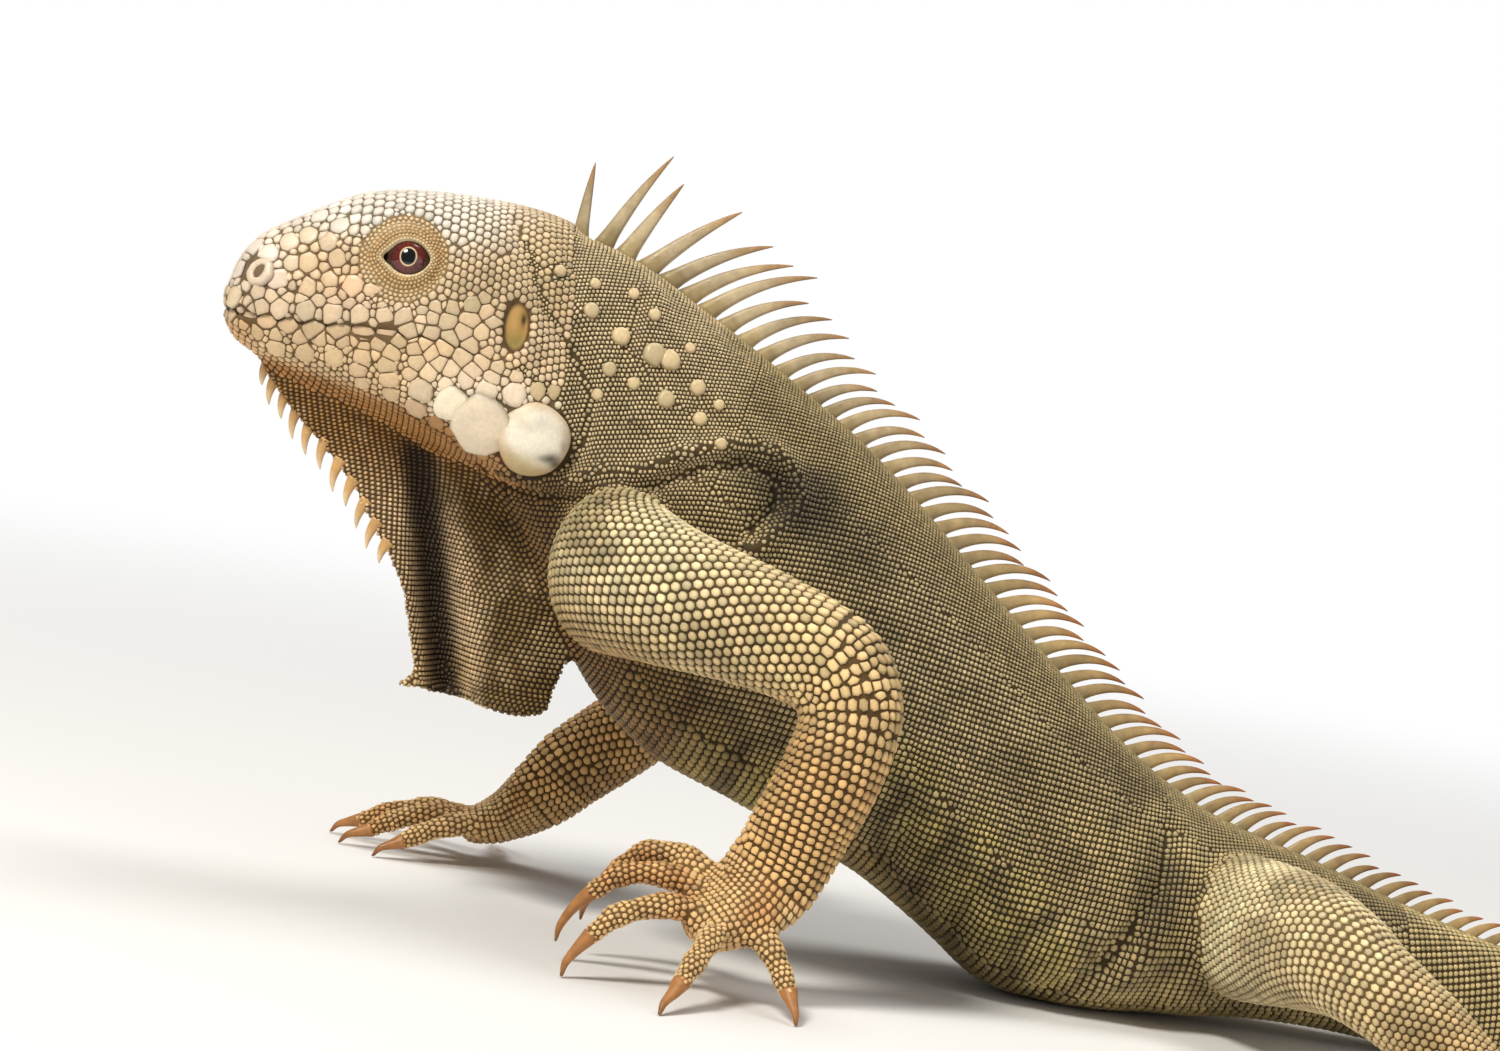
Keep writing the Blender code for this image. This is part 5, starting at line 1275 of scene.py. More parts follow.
# gaps in the fields are filled from the skin's own points, each like its nearest neighbour
for _round in range(2):
    _tree = KDTree(len(POS))
    for i, p in enumerate(POS):
        _tree.insert(p, i)
    _tree.balance()
    _found = []
    for i in range(len(skin_v)):
        for co, j, dist in _tree.find_n(skin_v[i], 8):
            if NORMAL[j] @ skin_n[i] > 0.25:
                want = 0.80 * (SIZE[j] if REG[j] != PLATE else 0.62 * SIZE[j] + 1.6)
                if dist > want:
                    _found.append((dist / want, i, j))
                break
    _found.sort(reverse=True)
    _new, _cells = [], {}
    for _, i, j in _found:
        p, size = skin_v[i], min(SIZE[j], 3.4)
        key = tuple((p // 3).astype(int))
        close = False
        for dx in (-1, 0, 1):
            for dy in (-1, 0, 1):
                for dz in (-1, 0, 1):
                    for o, o_size in _cells.get((key[0] + dx, key[1] + dy, key[2] + dz), ()):
                        if np.linalg.norm(skin_v[o] - p) < 0.42 * (size + o_size):
                            close = True
        if not close:
            _cells.setdefault(key, []).append((i, size))
            _new.append((i, j))
    if not _new:
        break
    _i, _j = np.array(_new).T
    _region = np.where((REG[_j] == PLATE) | (REG[_j] == LID), HEAD, REG[_j])
    _ok = clear(skin_v[_i], skin_n[_i], _region)
    _i, _j, _region = _i[_ok], _j[_ok], _region[_ok]
    REG = np.concatenate([REG, _region])
    POS = np.vstack([POS, skin_v[_i]])
    NORMAL = np.vstack([NORMAL, skin_n[_i]])
    LIE = np.vstack([LIE, LIE[_j]])
    SIZE = np.concatenate([SIZE, np.minimum(SIZE[_j], 3.4)])
    UV = np.vstack([UV, UV[_j]])
    CHART = np.concatenate([CHART, CHART[_j]])
    HEIGHT = np.concatenate([HEIGHT, np.full(len(_j), -1.0)])
    RANK = np.concatenate([RANK, RANK[_j]])
    print("filled", len(_j), flush=True)
N = len(POS)
LIE = unit(LIE - NORMAL * (LIE * NORMAL).sum(1, keepdims=True))
ACROSS = np.cross(NORMAL, LIE)
print("seeds kept", N, {int(r): int((REG == r).sum()) for r in np.unique(REG)}, flush=True)

# neighbours
NEAR = 10
_tree = KDTree(N)
for i, p in enumerate(POS):
    _tree.insert(p, i)
_tree.balance()
near = np.full((N, NEAR), -1, int)
for i in range(N):
    found = [j for _, j, _ in _tree.find_n(POS[i], NEAR + 1) if j != i]
    near[i, :len(found)] = found[:NEAR]
_big = np.where(REG == PLATE)[0]
for i in _big:   # a large plate's neighbours are further off than the nearest ten
    found = [j for _, j, _ in _tree.find_range(POS[i], float(SIZE[i] * 0.95 + 3)) if j != i][:NEAR * 3]
    d = np.linalg.norm(POS[found] - POS[i], axis=1) - 0.5 * SIZE[found]
    found = np.array(found)[np.argsort(d)][:NEAR]
    near[i] = -1
    near[i, :len(found)] = found


# ------------------------------------------------------------------ markings
def body_colour(p, v):
    """v runs from 0 on the back to 1 on the belly."""
    back, flank, belly = tone(170, 150, 103), tone(196, 176, 128), tone(158, 136, 84)
    col = mixed(np.tile(back, (len(p), 1)), flank, smoothstep(0.12, 0.32, v))
    col = mixed(col, belly, smoothstep(0.66, 0.85, v))
    xz = p[:, [0, 2]]
    neck = 1 - smoothstep(-35, -5, p[:, 0])
    col = mixed(col, tone(216, 194, 152), 0.75 * neck * (1 - smoothstep(0.8, 0.95, v)))
    col = mixed(col, tone(176, 150, 96), neck * smoothstep(-150, -118, -p[:, 2]) * 0.8)
    rear = smoothstep(60, 115, p[:, 0])
    col = mixed(col, tone(206, 184, 128), 0.7 * rear * smoothstep(0.2, 0.35, v))
    mid = np.exp(-((p[:, 0] - 45) / 34) ** 2) * smoothstep(0.15, 0.3, v) * (1 - smoothstep(0.62, 0.8, v))
    col = mixed(col, tone(172, 156, 118), 0.6 * mid)
    # painted shade: dark patches over the shoulder in the hollow behind the neck fold, and in the creases behind the
    # arm and in front of the thigh
    for cx, cz, rx, rz, k in ((5, 139, 15, 11, 0.85), (-9, 146, 11, 7, 0.55), (22, 128, 13, 9, 0.5), (30, 96, 9, 14, 0.45), (130, 40, 9, 15, 0.6)):
        d = ((xz[:, 0] - cx) / rx) ** 2 + ((xz[:, 1] - cz) / rz) ** 2
        col = mixed(col, tone(70, 60, 38), k * np.exp(-d * d))
    # yellow-green ovals between dark bars, low on the flank
    for cx, cz, r in ((40, 68, 9), (58, 48, 9), (72, 34, 9), (86, 23, 9), (102, 17, 8), (56, 70, 8), (76, 54, 8), (92, 42, 8), (-30, 74, 9), (-12, 60, 9), (10, 52, 9)):
        d = ((xz[:, 0] - cx) / r) ** 2 + ((xz[:, 1] - cz) / (r * 1.25)) ** 2
        col = mixed(col, tone(196, 178, 104), 0.75 * np.exp(-d * d) * smoothstep(0.45, 0.6, v))
        ring = np.exp(-((np.sqrt(d) - 1.45) / 0.28) ** 2)
        col = mixed(col, tone(92, 76, 40), 0.5 * ring * smoothstep(0.5, 0.65, v))
    chest = (1 - smoothstep(-30, 10, p[:, 0])) * smoothstep(0.55, 0.8, v)
    col = mixed(col, tone(128, 90, 42), 0.75 * chest)
    blotch = smoothstep(0.1, 0.8, ripple(p, 26.0, 0)) * 0.30 + smoothstep(0.2, 0.9, ripple(p, 9.0, 1)) * 0.18
    return mixed(col, tone(96, 82, 50), blotch * (1 - 0.6 * neck))


def tail_colour(p, u):
    """u runs from 0 at the hips to 1 at the tip."""
    col = np.tile(tone(200, 178, 124), (len(p), 1))
    dist = u * 880
    period = 62.0
    wave = 0.5 + 0.5 * np.sin(2 * math.pi * (dist - 30 + 5 * ripple(p, 18, 1)) / period)
    col = mixed(col, tone(104, 82, 50), 0.78 * smoothstep(0.45, 0.8, wave) * smoothstep(35, 90, dist))
    return mixed(col, tone(120, 98, 62), 0.25 * smoothstep(0.1, 0.9, ripple(p, 12, 2)))


def limb_colour(p, t, kind):
    if kind == "arm":
        col = np.array([[np.interp(x, [0, 0.15, 0.3, 0.5, 0.62, 0.8, 1.0], c) for c in zip(*[
            tone(150, 130, 88), tone(196, 176, 128), tone(238, 220, 172), tone(226, 202, 150), tone(236, 206, 148), tone(222, 178, 116), tone(232, 188, 124)])]
            for x in t])
        low = smoothstep(-112, -84, -p[:, 2]) * (1 - smoothstep(0.3, 0.5, t))
        col = mixed(col, tone(178, 138, 78), 0.75 * low)
    else:
        col = np.array([[np.interp(x, [0, 0.25, 0.6, 1.0], c) for c in zip(*[
            tone(180, 160, 108), tone(242, 224, 176), tone(234, 210, 158), tone(222, 184, 124)])] for x in t])
    return mixed(col, tone(120, 96, 54), 0.38 * smoothstep(0.25, 0.95, ripple(p, 16, 0)))


def hand_colour(p):
    col = np.tile(tone(244, 206, 146), (len(p), 1))
    return mixed(col, tone(206, 142, 76), 0.55 * smoothstep(-0.2, 0.9, ripple(p, 14, 1)) + 0.15)


def head_colour(q, n):
    """In the head's own axes."""
    x, z = q[:, 0], q[:, 2]
    col = np.tile(tone(222, 196, 158), (len(q), 1))
    # painted light: the top of the head and the top of the snout paler, as lit from above
    col = mixed(col, tone(232, 222, 206), smoothstep(196, 206, z) * (1 - smoothstep(-92, -76, x)))
    col = mixed(col, tone(238, 222, 202), (1 - smoothstep(-156, -140, x)) * smoothstep(178, 186, z))
    loreal = np.exp(-((x + 130) / 11) ** 2 - ((z - 188) / 7) ** 2)
    col = mixed(col, tone(226, 188, 146), 0.8 * loreal)
    labial = np.exp(-((z - 177) / 4.5) ** 2) * (1 - smoothstep(-104, -94, x))
    col = mixed(col, tone(224, 198, 166), 0.7 * labial)
    lower = 1 - smoothstep(171, 174.5, z)
    col = mixed(col, tone(226, 194, 148), 0.85 * lower)
    grey = np.exp(-((z - 172) / 2.6) ** 2) * (1 - smoothstep(-112, -100, x))
    col = mixed(col, tone(196, 168, 130), 0.8 * grey)
    bright = smoothstep(-112, -92, x) * np.exp(-((z - 154) / 11) ** 2)
    col = mixed(col, tone(248, 234, 210), 0.85 * bright)
    throat = smoothstep(0, 5, (150.5 + (-95 - x) * 0.22) - z + 2.0)
    col = mixed(col, tone(178, 126, 66), throat * (1 - 0.2 * smoothstep(-100, -80, x)))
    front = (1 - smoothstep(-160, -150, x)) * (1 - smoothstep(168, 173, z))
    col = mixed(col, tone(222, 168, 104), 0.7 * front)
    temple = np.exp(-((x + 88) / 15) ** 2 - ((z - 192) / 13) ** 2)
    col = mixed(col, tone(196, 172, 134), 0.85 * temple)
    crown = smoothstep(-84, -66, x) * smoothstep(178, 190, z)
    col = mixed(col, tone(186, 162, 118), 0.7 * crown)
    top = smoothstep(205, 214, z) * smoothstep(-140, -120, x)
    return mixed(col, tone(214, 200, 180), 0.4 * top * smoothstep(-0.2, 0.8, ripple(q, 7, 1)))


def dewlap_colour(p):
    x, z = p[:, 0], p[:, 2]
    rows = curve(DEWLAP_ROWS[:, 0], DEWLAP_ROWS, np.clip(z, 59.5, 151))
    a = np.clip((x - rows[:, 1]) / (rows[:, 2] - rows[:, 1]), 0, 1)
    col = np.tile(tone(218, 188, 146), (len(p), 1))
    col = mixed(col, tone(134, 108, 60), smoothstep(0.40, 0.56, a))
    col = mixed(col, tone(174, 130, 68), smoothstep(112, 138, z))
    col = mixed(col, tone(230, 192, 128), 0.6 * (1 - smoothstep(66, 84, z)) * (1 - smoothstep(0.35, 0.5, a)))
    col = mixed(col, tone(240, 214, 168), 0.25 * smoothstep(0.3, 0.9, ripple(p, 6, 2)))
    # painted shade: near black down the deep fold of the loose skin, fading out near its top
    centre = -88.5 - (z - 62) * 0.29
    fold = np.exp(-((x - centre) / 6.0) ** 4) * (1 - smoothstep(132, 142, z)) * (p[:, 1] < 25)
    return mixed(col, tone(38, 22, 8), 0.9 * fold)


COLOUR = np.zeros((N, 3))
_v = np.abs(UV[:, 1] - 0.5) * 2
_m = REG == TRUNK
COLOUR[_m] = body_colour(POS[_m], _v[_m])
_m = REG == TAIL
COLOUR[_m] = tail_colour(POS[_m], UV[_m, 0])
_m = REG == ARM
COLOUR[_m] = limb_colour(POS[_m], UV[_m, 0], "arm")
_m = (REG == HAND) | (REG == FOOT)
COLOUR[_m] = hand_colour(POS[_m])
_m = REG == LEG
COLOUR[_m] = limb_colour(POS[_m], UV[_m, 0], "leg")
_m = (REG == HEAD) | (REG == PLATE)
COLOUR[_m] = head_colour(head_local(POS[_m]), NORMAL[_m])
_m = (REG == PLATE) & (POS[:, 0] > -79) & (POS[:, 2] > 150) & (head_local(POS)[:, 0] > -79)
COLOUR[_m] = tone(212, 188, 144)
_m = REG == LID
_c = np.zeros(int(_m.sum()))
_ql = head_local(POS[_m])
for _sign in (-1, 1):
    _dd, _an, _ = eye_polar(_ql, _sign)
    _c = np.where(_ql[:, 1] * _sign > 0, _dd - opening(_an), _c)
COLOUR[_m] = mixed(mixed(np.tile(tone(232, 212, 168), (int(_m.sum()), 1)), tone(204, 172, 122), smoothstep(0.8, 2.2, _c)), tone(222, 198, 158), smoothstep(3.0, 7.0, _c))
_m = REG == DEWLAP
COLOUR[_m] = dewlap_colour(POS[_m])
_rng = np.random.default_rng(11)
VARY = _rng.normal(0, 1, (N, 3))
_amount = np.select([REG == PLATE, REG == HEAD, REG == LID], [0.05, 0.08, 0.07], 0.12)
COLOUR = np.clip(COLOUR * (1 + _amount[:, None] * VARY[:, :1]) * (1 + 0.012 * VARY), 0.004, 0.97)

# skin between the scales: the same markings, deep in shade
UNDER = np.select([REG == PLATE, REG == HEAD, REG == LID, REG == LEG, REG == HAND, REG == FOOT, REG == ARM, REG == DEWLAP],
                  [0.20, 0.20, 0.40, 0.20, 0.20, 0.20, 0.12, 0.16], 0.11)


def skin_tint(points):
    out = np.zeros((len(points), 3))
    for i, p in enumerate(points):
        _, j, d = _tree.find(p)
        out[i] = COLOUR[j] * UNDER[j] * (0.55 if d > 2.2 * SIZE[j] else 1.0)
    return out * np.array([1.1, 0.9, 0.6])


_rgba = np.ones((len(skin_v), 4), np.float32)
_rgba[:, :3] = skin_tint(skin_v)
skin_mesh.color_attributes.new("tint", "FLOAT_COLOR", "POINT").data.foreach_set("color", _rgba.ravel())


# ------------------------------------------------------------------ scales
def reach(idx, angles):
    """Radius of each scale in each direction, to half way towards its neighbours."""
    nb = near[idx]
    ok = nb >= 0
    nbs = np.where(ok, nb, 0)
    d = POS[nbs] - POS[idx][:, None]
    dx = (d * ACROSS[idx][:, None]).sum(-1)
    dy = (d * LIE[idx][:, None]).sum(-1)
    dist = np.hypot(dx, dy) + 1e-9
    ri, rj = 0.5 * SIZE[idx][:, None], 0.5 * SIZE[nbs]
    half = (dist ** 2 + ri ** 2 - rj ** 2) / (2 * dist)
    half = np.clip(half, 0.2 * ri, None)
    facing = (NORMAL[idx][:, None] * NORMAL[nbs]).sum(-1) > 0.1
    out = np.empty((len(idx), len(angles)))
    for k, a in enumerate(angles):
        c = (dx * math.cos(a) + dy * math.sin(a)) / dist
        r = np.where(ok & facing & (c > 0.05), half / np.maximum(c, 0.05), 1e9)
        out[:, k] = r.min(1)
    return np.minimum(out, SIZE[idx][:, None] * np.where(REG[idx] == PLATE, 0.95, 0.68)[:, None])


def scale_mesh(idx, sides, levels, gap, height, tilt, keel=0.0):
    """Closed rings for many scales at once: a rim sunk in the skin, then rings that rise to the middle."""
    n = len(idx)
    angles = math.pi / 2 + np.arange(sides) * 2 * math.pi / sides
    r = np.maximum(reach(idx, angles) - gap, 0.25 * SIZE[idx][:, None])
    dirx, diry = np.cos(angles), np.sin(angles)
    size = SIZE[idx]
    rings, shades = [], []
    for k, (share, lift, shade) in enumerate(levels):
        x, y = r * dirx * share, r * diry * share
        slope = tilt * y / size[:, None] * size[:, None]
        ridge = keel * size[:, None] * np.exp(-(x / (0.16 * size[:, None])) ** 2) * (lift > 0)
        z = height[:, None] * lift + (slope + ridge) * (lift > 0) - (0.25 if k == 0 else 0)
        rings.append(POS[idx][:, None] + x[..., None] * ACROSS[idx][:, None] + y[..., None] * LIE[idx][:, None] + z[..., None] * NORMAL[idx][:, None])
        shades.append(np.full((n, sides), shade))
    top = POS[idx] + NORMAL[idx] * (height * 1.0 + keel * size)[:, None]
    per = sides * len(levels) + 1
    verts = np.concatenate([np.concatenate(rings, 1), top[:, None]], 1)
    # the top point a little lighter than the scale's colour: a painted highlight over the rings' painted shade
    shade = np.concatenate([np.concatenate(shades, 1), np.full((n, 1), 1.04)], 1)
    quads = []
    for k in range(len(levels) - 1):
        for j in range(sides):
            quads.append((k * sides + j, k * sides + (j + 1) % sides, (k + 1) * sides + (j + 1) % sides, (k + 1) * sides + j))
    last = (len(levels) - 1) * sides
    tris = [(last + j, last + (j + 1) % sides, per - 1) for j in range(sides)]
    base = np.arange(n)[:, None, None] * per
    q = (np.array(quads)[None] + base).reshape(-1, 4) if quads else np.zeros((0, 4), int)
    t = (np.array(tris)[None] + base).reshape(-1, 3)
    col = COLOUR[idx][:, None] * shade[..., None]
    spread = np.concatenate([np.repeat([lv[0] for lv in levels], sides), [0.0]])
    ux = np.concatenate([np.tile(dirx, len(levels)), [0.0]]) * spread
    uy = np.concatenate([np.tile(diry, len(levels)), [0.0]]) * spread
    return verts, q, t, col, (ux, uy), 2 * len(quads) * n + len(tris) * n


CLASSES = {}
# each level's third number multiplies the scale's colour on that ring: painted shade down the sides to the rim sunk in
# the skin, and a lighter top
small = [(1.0, 0.0, 0.34), (0.72, 0.85, 0.98)]
middle = [(1.0, 0.0, 0.30), (0.86, 0.62, 0.88), (0.52, 0.97, 1.02)]
soft = [(1.0, 0.0, 0.42), (0.88, 0.55, 0.88), (0.55, 0.96, 1.01)]
broad = [(1.0, 0.0, 0.42), (0.955, 0.40, 0.78), (0.86, 0.78, 0.96), (0.5, 0.98, 1.0)]


def kind_of(region):
    """sides, levels, gap, height as a share of size, tilt, keel"""
    return {
        TRUNK: (6, small, 0.13, 0.23, 0.10, 0.0), TAIL: (6, small, 0.12, 0.16, 0.16, 0.06),
        ARM: (8, middle, 0.20, 0.20, 0.12, 0.02), HAND: (6, middle, 0.13, 0.20, 0.10, 0.0),
        LEG: (6, middle, 0.15, 0.20, 0.12, 0.02), FOOT: (6, small, 0.13, 0.20, 0.10, 0.0),
        HEAD: (8, soft, 0.08, 0.16, 0.03, 0.0), DEWLAP: (6, small, 0.16, 0.26, 0.06, 0.0),
        LID: (6, small, 0.10, 0.26, 0.0, 0.0), PLATE: (20, broad, 0.08, 0.1, 0.0, 0.0),
    }[region]


# chart, name, slot, regions, limits on the place along the unwrap
COAT_PIECES = [
    ("scales_neck", "body_skin", [TRUNK], 0, None), ("scales_trunk", "body_skin", [TRUNK], 1, None),
    ("scales_tail", "body_skin", [TAIL], 2, None), ("scales_limbs", "limb_skin", [ARM, HAND, LEG, FOOT], 3, None),
    ("scales_head", "head_skin", [HEAD, PLATE, LID], 4, None), ("scales_dewlap", "throat_skin", [DEWLAP], 5, None),
]
MOST = 190000
total_tris = 0
coat = []


def chart_uv(uv, region, idx):
    """Each region has its own share of the map."""
    box = {TRUNK: (0.02, 0.02, 0.96, 0.96), TAIL: (0.02, 0.02, 0.96, 0.96), DEWLAP: (0.02, 0.02, 0.96, 0.96),
           HEAD: (0.02, 0.02, 0.96, 0.46), PLATE: (0.02, 0.52, 0.96, 0.30), LID: (0.02, 0.84, 0.96, 0.14),
           ARM: (0.02, 0.52, 0.96, 0.22), LEG: (0.02, 0.76, 0.96, 0.22), HAND: (0.02, 0.02, 0.46, 0.46),
           FOOT: (0.52, 0.02, 0.46, 0.46)}[region]
    u, v = uv[:, 0].copy(), uv[:, 1].copy()
    ranks = RANK[idx]
    if region in (ARM, LEG, HAND, FOOT):
        # one strip for each limb and digit
        kinds = sorted(set(ranks.tolist()))
        groups = {}
        last, n = None, -1
        for r in kinds:
            n += 1 if last is None or r - last > 0 and uv[ranks == r, 0].min() < uv[ranks == last, 0].max() - 0.5 else 0
            groups[r] = max(n, 0)
            last = r
        count = max(groups.values()) + 1
        v = (v + np.array([groups[r] for r in ranks.tolist()])) / count
    return np.stack([box[0] + np.clip(u, 0, 1) * box[2], box[1] + np.clip(v, 0, 1) * box[3]], -1)


for name, slot_name, regions, chart, _ in COAT_PIECES:
    chunks = []
    for region in regions:
        sel = np.where((REG == region) & (CHART == chart) & (HEIGHT != HELD))[0]
        if not len(sel):
            continue
        sides, levels, gap, lift, tilt, keel = kind_of(region)
        h = np.where(HEIGHT[sel] > 0, HEIGHT[sel], SIZE[sel] * lift * (1 + 0.06 * VARY[sel, 1]))
        h = np.minimum(h, 2.6)
        per = sides * 2 * (len(levels) - 1) + sides
        step = max(1, MOST // per)
        sel_uv = chart_uv(UV[sel], region, sel)
        for a in range(0, len(sel), step):
            part = sel[a:a + step]
            v, q, t, c, (ux, uy), count = scale_mesh(part, sides, levels, gap, h[a:a + step], tilt, keel)
            centre = sel_uv[a:a + step]
            uv = np.stack([centre[:, :1] + ux[None] * PATCH, centre[:, 1:] + uy[None] * PATCH], -1)
            chunks.append((v.reshape(-1, 3), q, t, np.clip(c.reshape(-1, 3), 0, 1), uv.reshape(-1, 2), count))
    # as few pieces as the limit allows
    group, held = [], 0
    groups = []
    for chunk in chunks:
        if held + chunk[5] > MOST + 5000 and group:
            groups.append(group)
            group, held = [], 0
        group.append(chunk)
        held += chunk[5]
    if group:
        groups.append(group)
    for g, group in enumerate(groups):
        off = np.cumsum([0] + [len(c[0]) for c in group])[:-1]
        v = np.vstack([c[0] for c in group])
        v[:, 2] = np.maximum(v[:, 2], 0.02)
        q = np.vstack([c[1] + o for c, o in zip(group, off)])
        t = np.vstack([c[2] + o for c, o in zip(group, off)])
        obj = build(name if len(groups) == 1 else f"{name}_{g + 1}", v, [q, t], np.vstack([c[3] for c in group]),
                    np.vstack([c[4] for c in group]), PLATE_MAT if chart == 4 else SCALE_MAT)
        coat.append(obj)
        held = sum(c[5] for c in group)
        total_tris += held
        print(obj.name, held, flush=True)
print("coat triangles", total_tris, flush=True)


# ------------------------------------------------------------------ eyes, lids, nostrils, ears, shields
pieces = []


def add_piece(obj, slot_name, *nodes):
    if nodes:
        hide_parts(*nodes)
    pieces.append(obj)
    return obj


for sign, side in ((-1, "left"), (1, "right")):
    verts, faces, col = eye_globe(sign)
    add_piece(build(f"eyeball_{side}", verts, split_faces(faces), col, mat=EYE_MAT), "eye", f"eye_{side}")
    grid, faces, r, b = LIDS[sign]
    flat = grid.reshape(-1, 3)
    # between its granules the lid takes the skin's painted shade, a little lighter, with a pale rim at the opening
    tint = skin_tint(flat) * 1.3
    rim = np.zeros(grid.shape[:2])
    rim[:4] = np.array([0.5, 1.0, 0.9, 0.4])[:, None]
    tint = mixed(tint, tone(226, 204, 160), rim.ravel())
    add_piece(build(f"eyelids_{side}", flat, split_faces(faces), tint, mat=LID_MAT), "head_skin")

    # nostril: a raised ring about a hollow, painted dark as shade
    pile = Pile()
    hit, nrm = drop_on(-154.9, sign, 186.9)
    if hit is not None:
        nrm = unit(nrm + np.array([-0.15, 0, 0.1]))
        fwd = unit(np.cross(nrm, [0, 0, 1.0]))
        up = np.cross(nrm, fwd)
        up = up if up[2] > 0 else -up
        tall = unit(up + 0.35 * fwd * np.sign(-fwd[0]) * -1)
        wide = np.cross(nrm, tall)
        prof = [(0.0, -2.4, 0.0), (0.9, -2.2, 0.02), (1.3, -1.2, 0.05), (1.6, -0.3, 0.25), (1.9, 0.2, 0.8), (2.4, 0.5, 0.97), (3.1, 0.55, 1.0), (3.8, 0.3, 0.97), (4.3, -0.05, 0.85), (4.8, -0.9, 0.4)]
        m = 48
        t = np.linspace(0, 2 * math.pi, m, endpoint=False)
        rings = []
        for rr, hh, _s in prof[1:]:
            k = 1.0 if rr > 2.5 else 1.0
            ax, ay = rr * (0.80 if rr < 2.0 else 1.0), rr * (1.25 if rr < 2.0 else 1.02)
            wob = 1 + 0.03 * np.sin(3 * t + rr) + 0.02 * np.sin(7 * t)
            rings.append(hit + nrm * hh + np.outer(np.cos(t) * ax * wob, wide) + np.outer(np.sin(t) * ay * wob, tall))
        rings = np.array(rings)
        verts = np.vstack([rings.reshape(-1, 3), hit + nrm * prof[0][1]])
        n = len(rings)
        faces = [(i * m + j, i * m + (j + 1) % m, (i + 1) * m + (j + 1) % m, (i + 1) * m + j) for i in range(n - 1) for j in range(m)]
        faces += [(n * m, (j + 1) % m, j) for j in range(m)]
        # painted shade: dark brown down the hollow, pale over the raised ring, and darker again where its edge sinks
        # into the skin
        shade = np.concatenate([np.repeat([s for _, _, s in prof[1:]], m), [0.0]])
        col = np.outer(shade, tone(228, 206, 180)) + np.outer(1 - shade, tone(62, 28, 14))
        pile.add(verts, faces, col)
        add_piece(pile.object(f"nostril_{side}", PLATE_MAT), "head_skin")

    # ear: a thin membrane sunk in its rim
    n, m = 14, 64
    t = np.linspace(0, 2 * math.pi, m, endpoint=False)
    start = head_place(np.array([[EAR[0], sign * 60.0, EAR[1]]]))[0]
    rows, shades = [], []
    for k in np.linspace(0.02, 1.16, n):
        ring = []
        for a in t:
            x, z = EAR[0] + EAR[2] * k * math.cos(a) * 1.02, EAR[1] + EAR[3] * k * math.sin(a)
            h, _ = drop_on(x, sign, z)
            ring.append(h)
        ring = np.array(ring)
        lift = np.interp(k, [0, 0.5, 0.85, 1.0, 1.16], [0.95, 0.8, 0.45, 0.3, -0.3])
        ring[:, 1] += sign * lift
        rows.append(ring)
    rows = np.array(rows)
    flat = rows.reshape(-1, 3)
    q = head_local(flat)
    e = np.hypot((q[:, 0] - EAR[0]) / EAR[2], (q[:, 2] - EAR[1]) / EAR[3])
    col = np.tile(tone(176, 138, 74), (len(flat), 1))
    col = mixed(col, tone(150, 136, 70), 0.8 * (1 - smoothstep(-5, 0, q[:, 2] - EAR[1])))
    col = mixed(col, tone(214, 170, 102), 0.5 * np.exp(-((q[:, 0] - EAR[0] + 1) / 1.6) ** 2) * smoothstep(-4, 2, q[:, 2] - EAR[1]))
    col = mixed(col, tone(44, 26, 12), np.exp(-((q[:, 0] + 75.9) / 0.8) ** 2 - ((q[:, 2] - 182.2) / 1.9) ** 2))
    col = mixed(col, tone(96, 66, 32), smoothstep(0.8, 1.0, e))
    faces = [(i * m + j, i * m + (j + 1) % m, (i + 1) * m + (j + 1) % m, (i + 1) * m + j) for i in range(n - 1) for j in range(m)]
    verts = np.vstack([flat, rows[0].mean(0)])
    faces += [(n * m, (j + 1) % m, j) for j in range(m)]
    add_piece(build(f"eardrum_{side}", verts, split_faces(faces), np.vstack([col, col[:1]]), mat=LID_MAT), "ear", f"ear_{side}")

    # shield: the great round scale under the ear
    n, m = 40, 84
    a = np.linspace(0.02, 1.75, n)
    b = np.linspace(0, 2 * math.pi, m, endpoint=False)
    A, B = np.meshgrid(a, b, indexing="ij")
    dome = np.stack([np.sin(A) * np.cos(B), np.cos(A), np.sin(A) * np.sin(B)], -1)
    out = 1 + 0.018 * np.sin(3 * B + 1) * np.sin(A) + 0.012 * np.sin(5 * B) * np.sin(A)
    flatten = np.sign(dome[..., 1]) * np.abs(dome[..., 1]) ** 0.8
    hit, nrm = drop_on(SHIELD[0], sign, SHIELD[2])
    pts = np.stack([SHIELD[0] + SHIELD[3] * 1.02 * dome[..., 0] * out, sign * (SHIELD[1] + (SHIELD[4] - 0.3) * flatten), SHIELD[2] + SHIELD[5] * 1.02 * dome[..., 2] * out], -1)
    flat = pts.reshape(-1, 3)
    q = flat
    e = np.hypot((q[:, 0] - SHIELD[0]) / SHIELD[3], (q[:, 2] - SHIELD[2]) / SHIELD[5])
    col = np.tile(tone(244, 234, 212), (len(flat), 1))
    noise = ripple(q, 7.0, 0)
    col = mixed(col, tone(214, 200, 168), 0.6 * smoothstep(-0.2, 0.7, noise))
    col = mixed(col, tone(176, 150, 84), 0.85 * smoothstep(0.0, 7.5, -(q[:, 2] - SHIELD[2]) - 2.5 - 0.35 * (q[:, 0] - SHIELD[0])))
    col = mixed(col, tone(206, 170, 130), 0.5 * smoothstep(0.72, 0.98, e))
    for cx, cz, rx, rz, k in ((-63.5, 142.3, 2.6, 1.6, 0.9), (-62.0, 140.6, 1.7, 1.3, 0.8), (-66.0, 141.8, 2.2, 1.2, 0.5), (-60.2, 146.5, 1.3, 2.4, 0.45), (-67.5, 152.5, 3.0, 2.0, 0.18)):
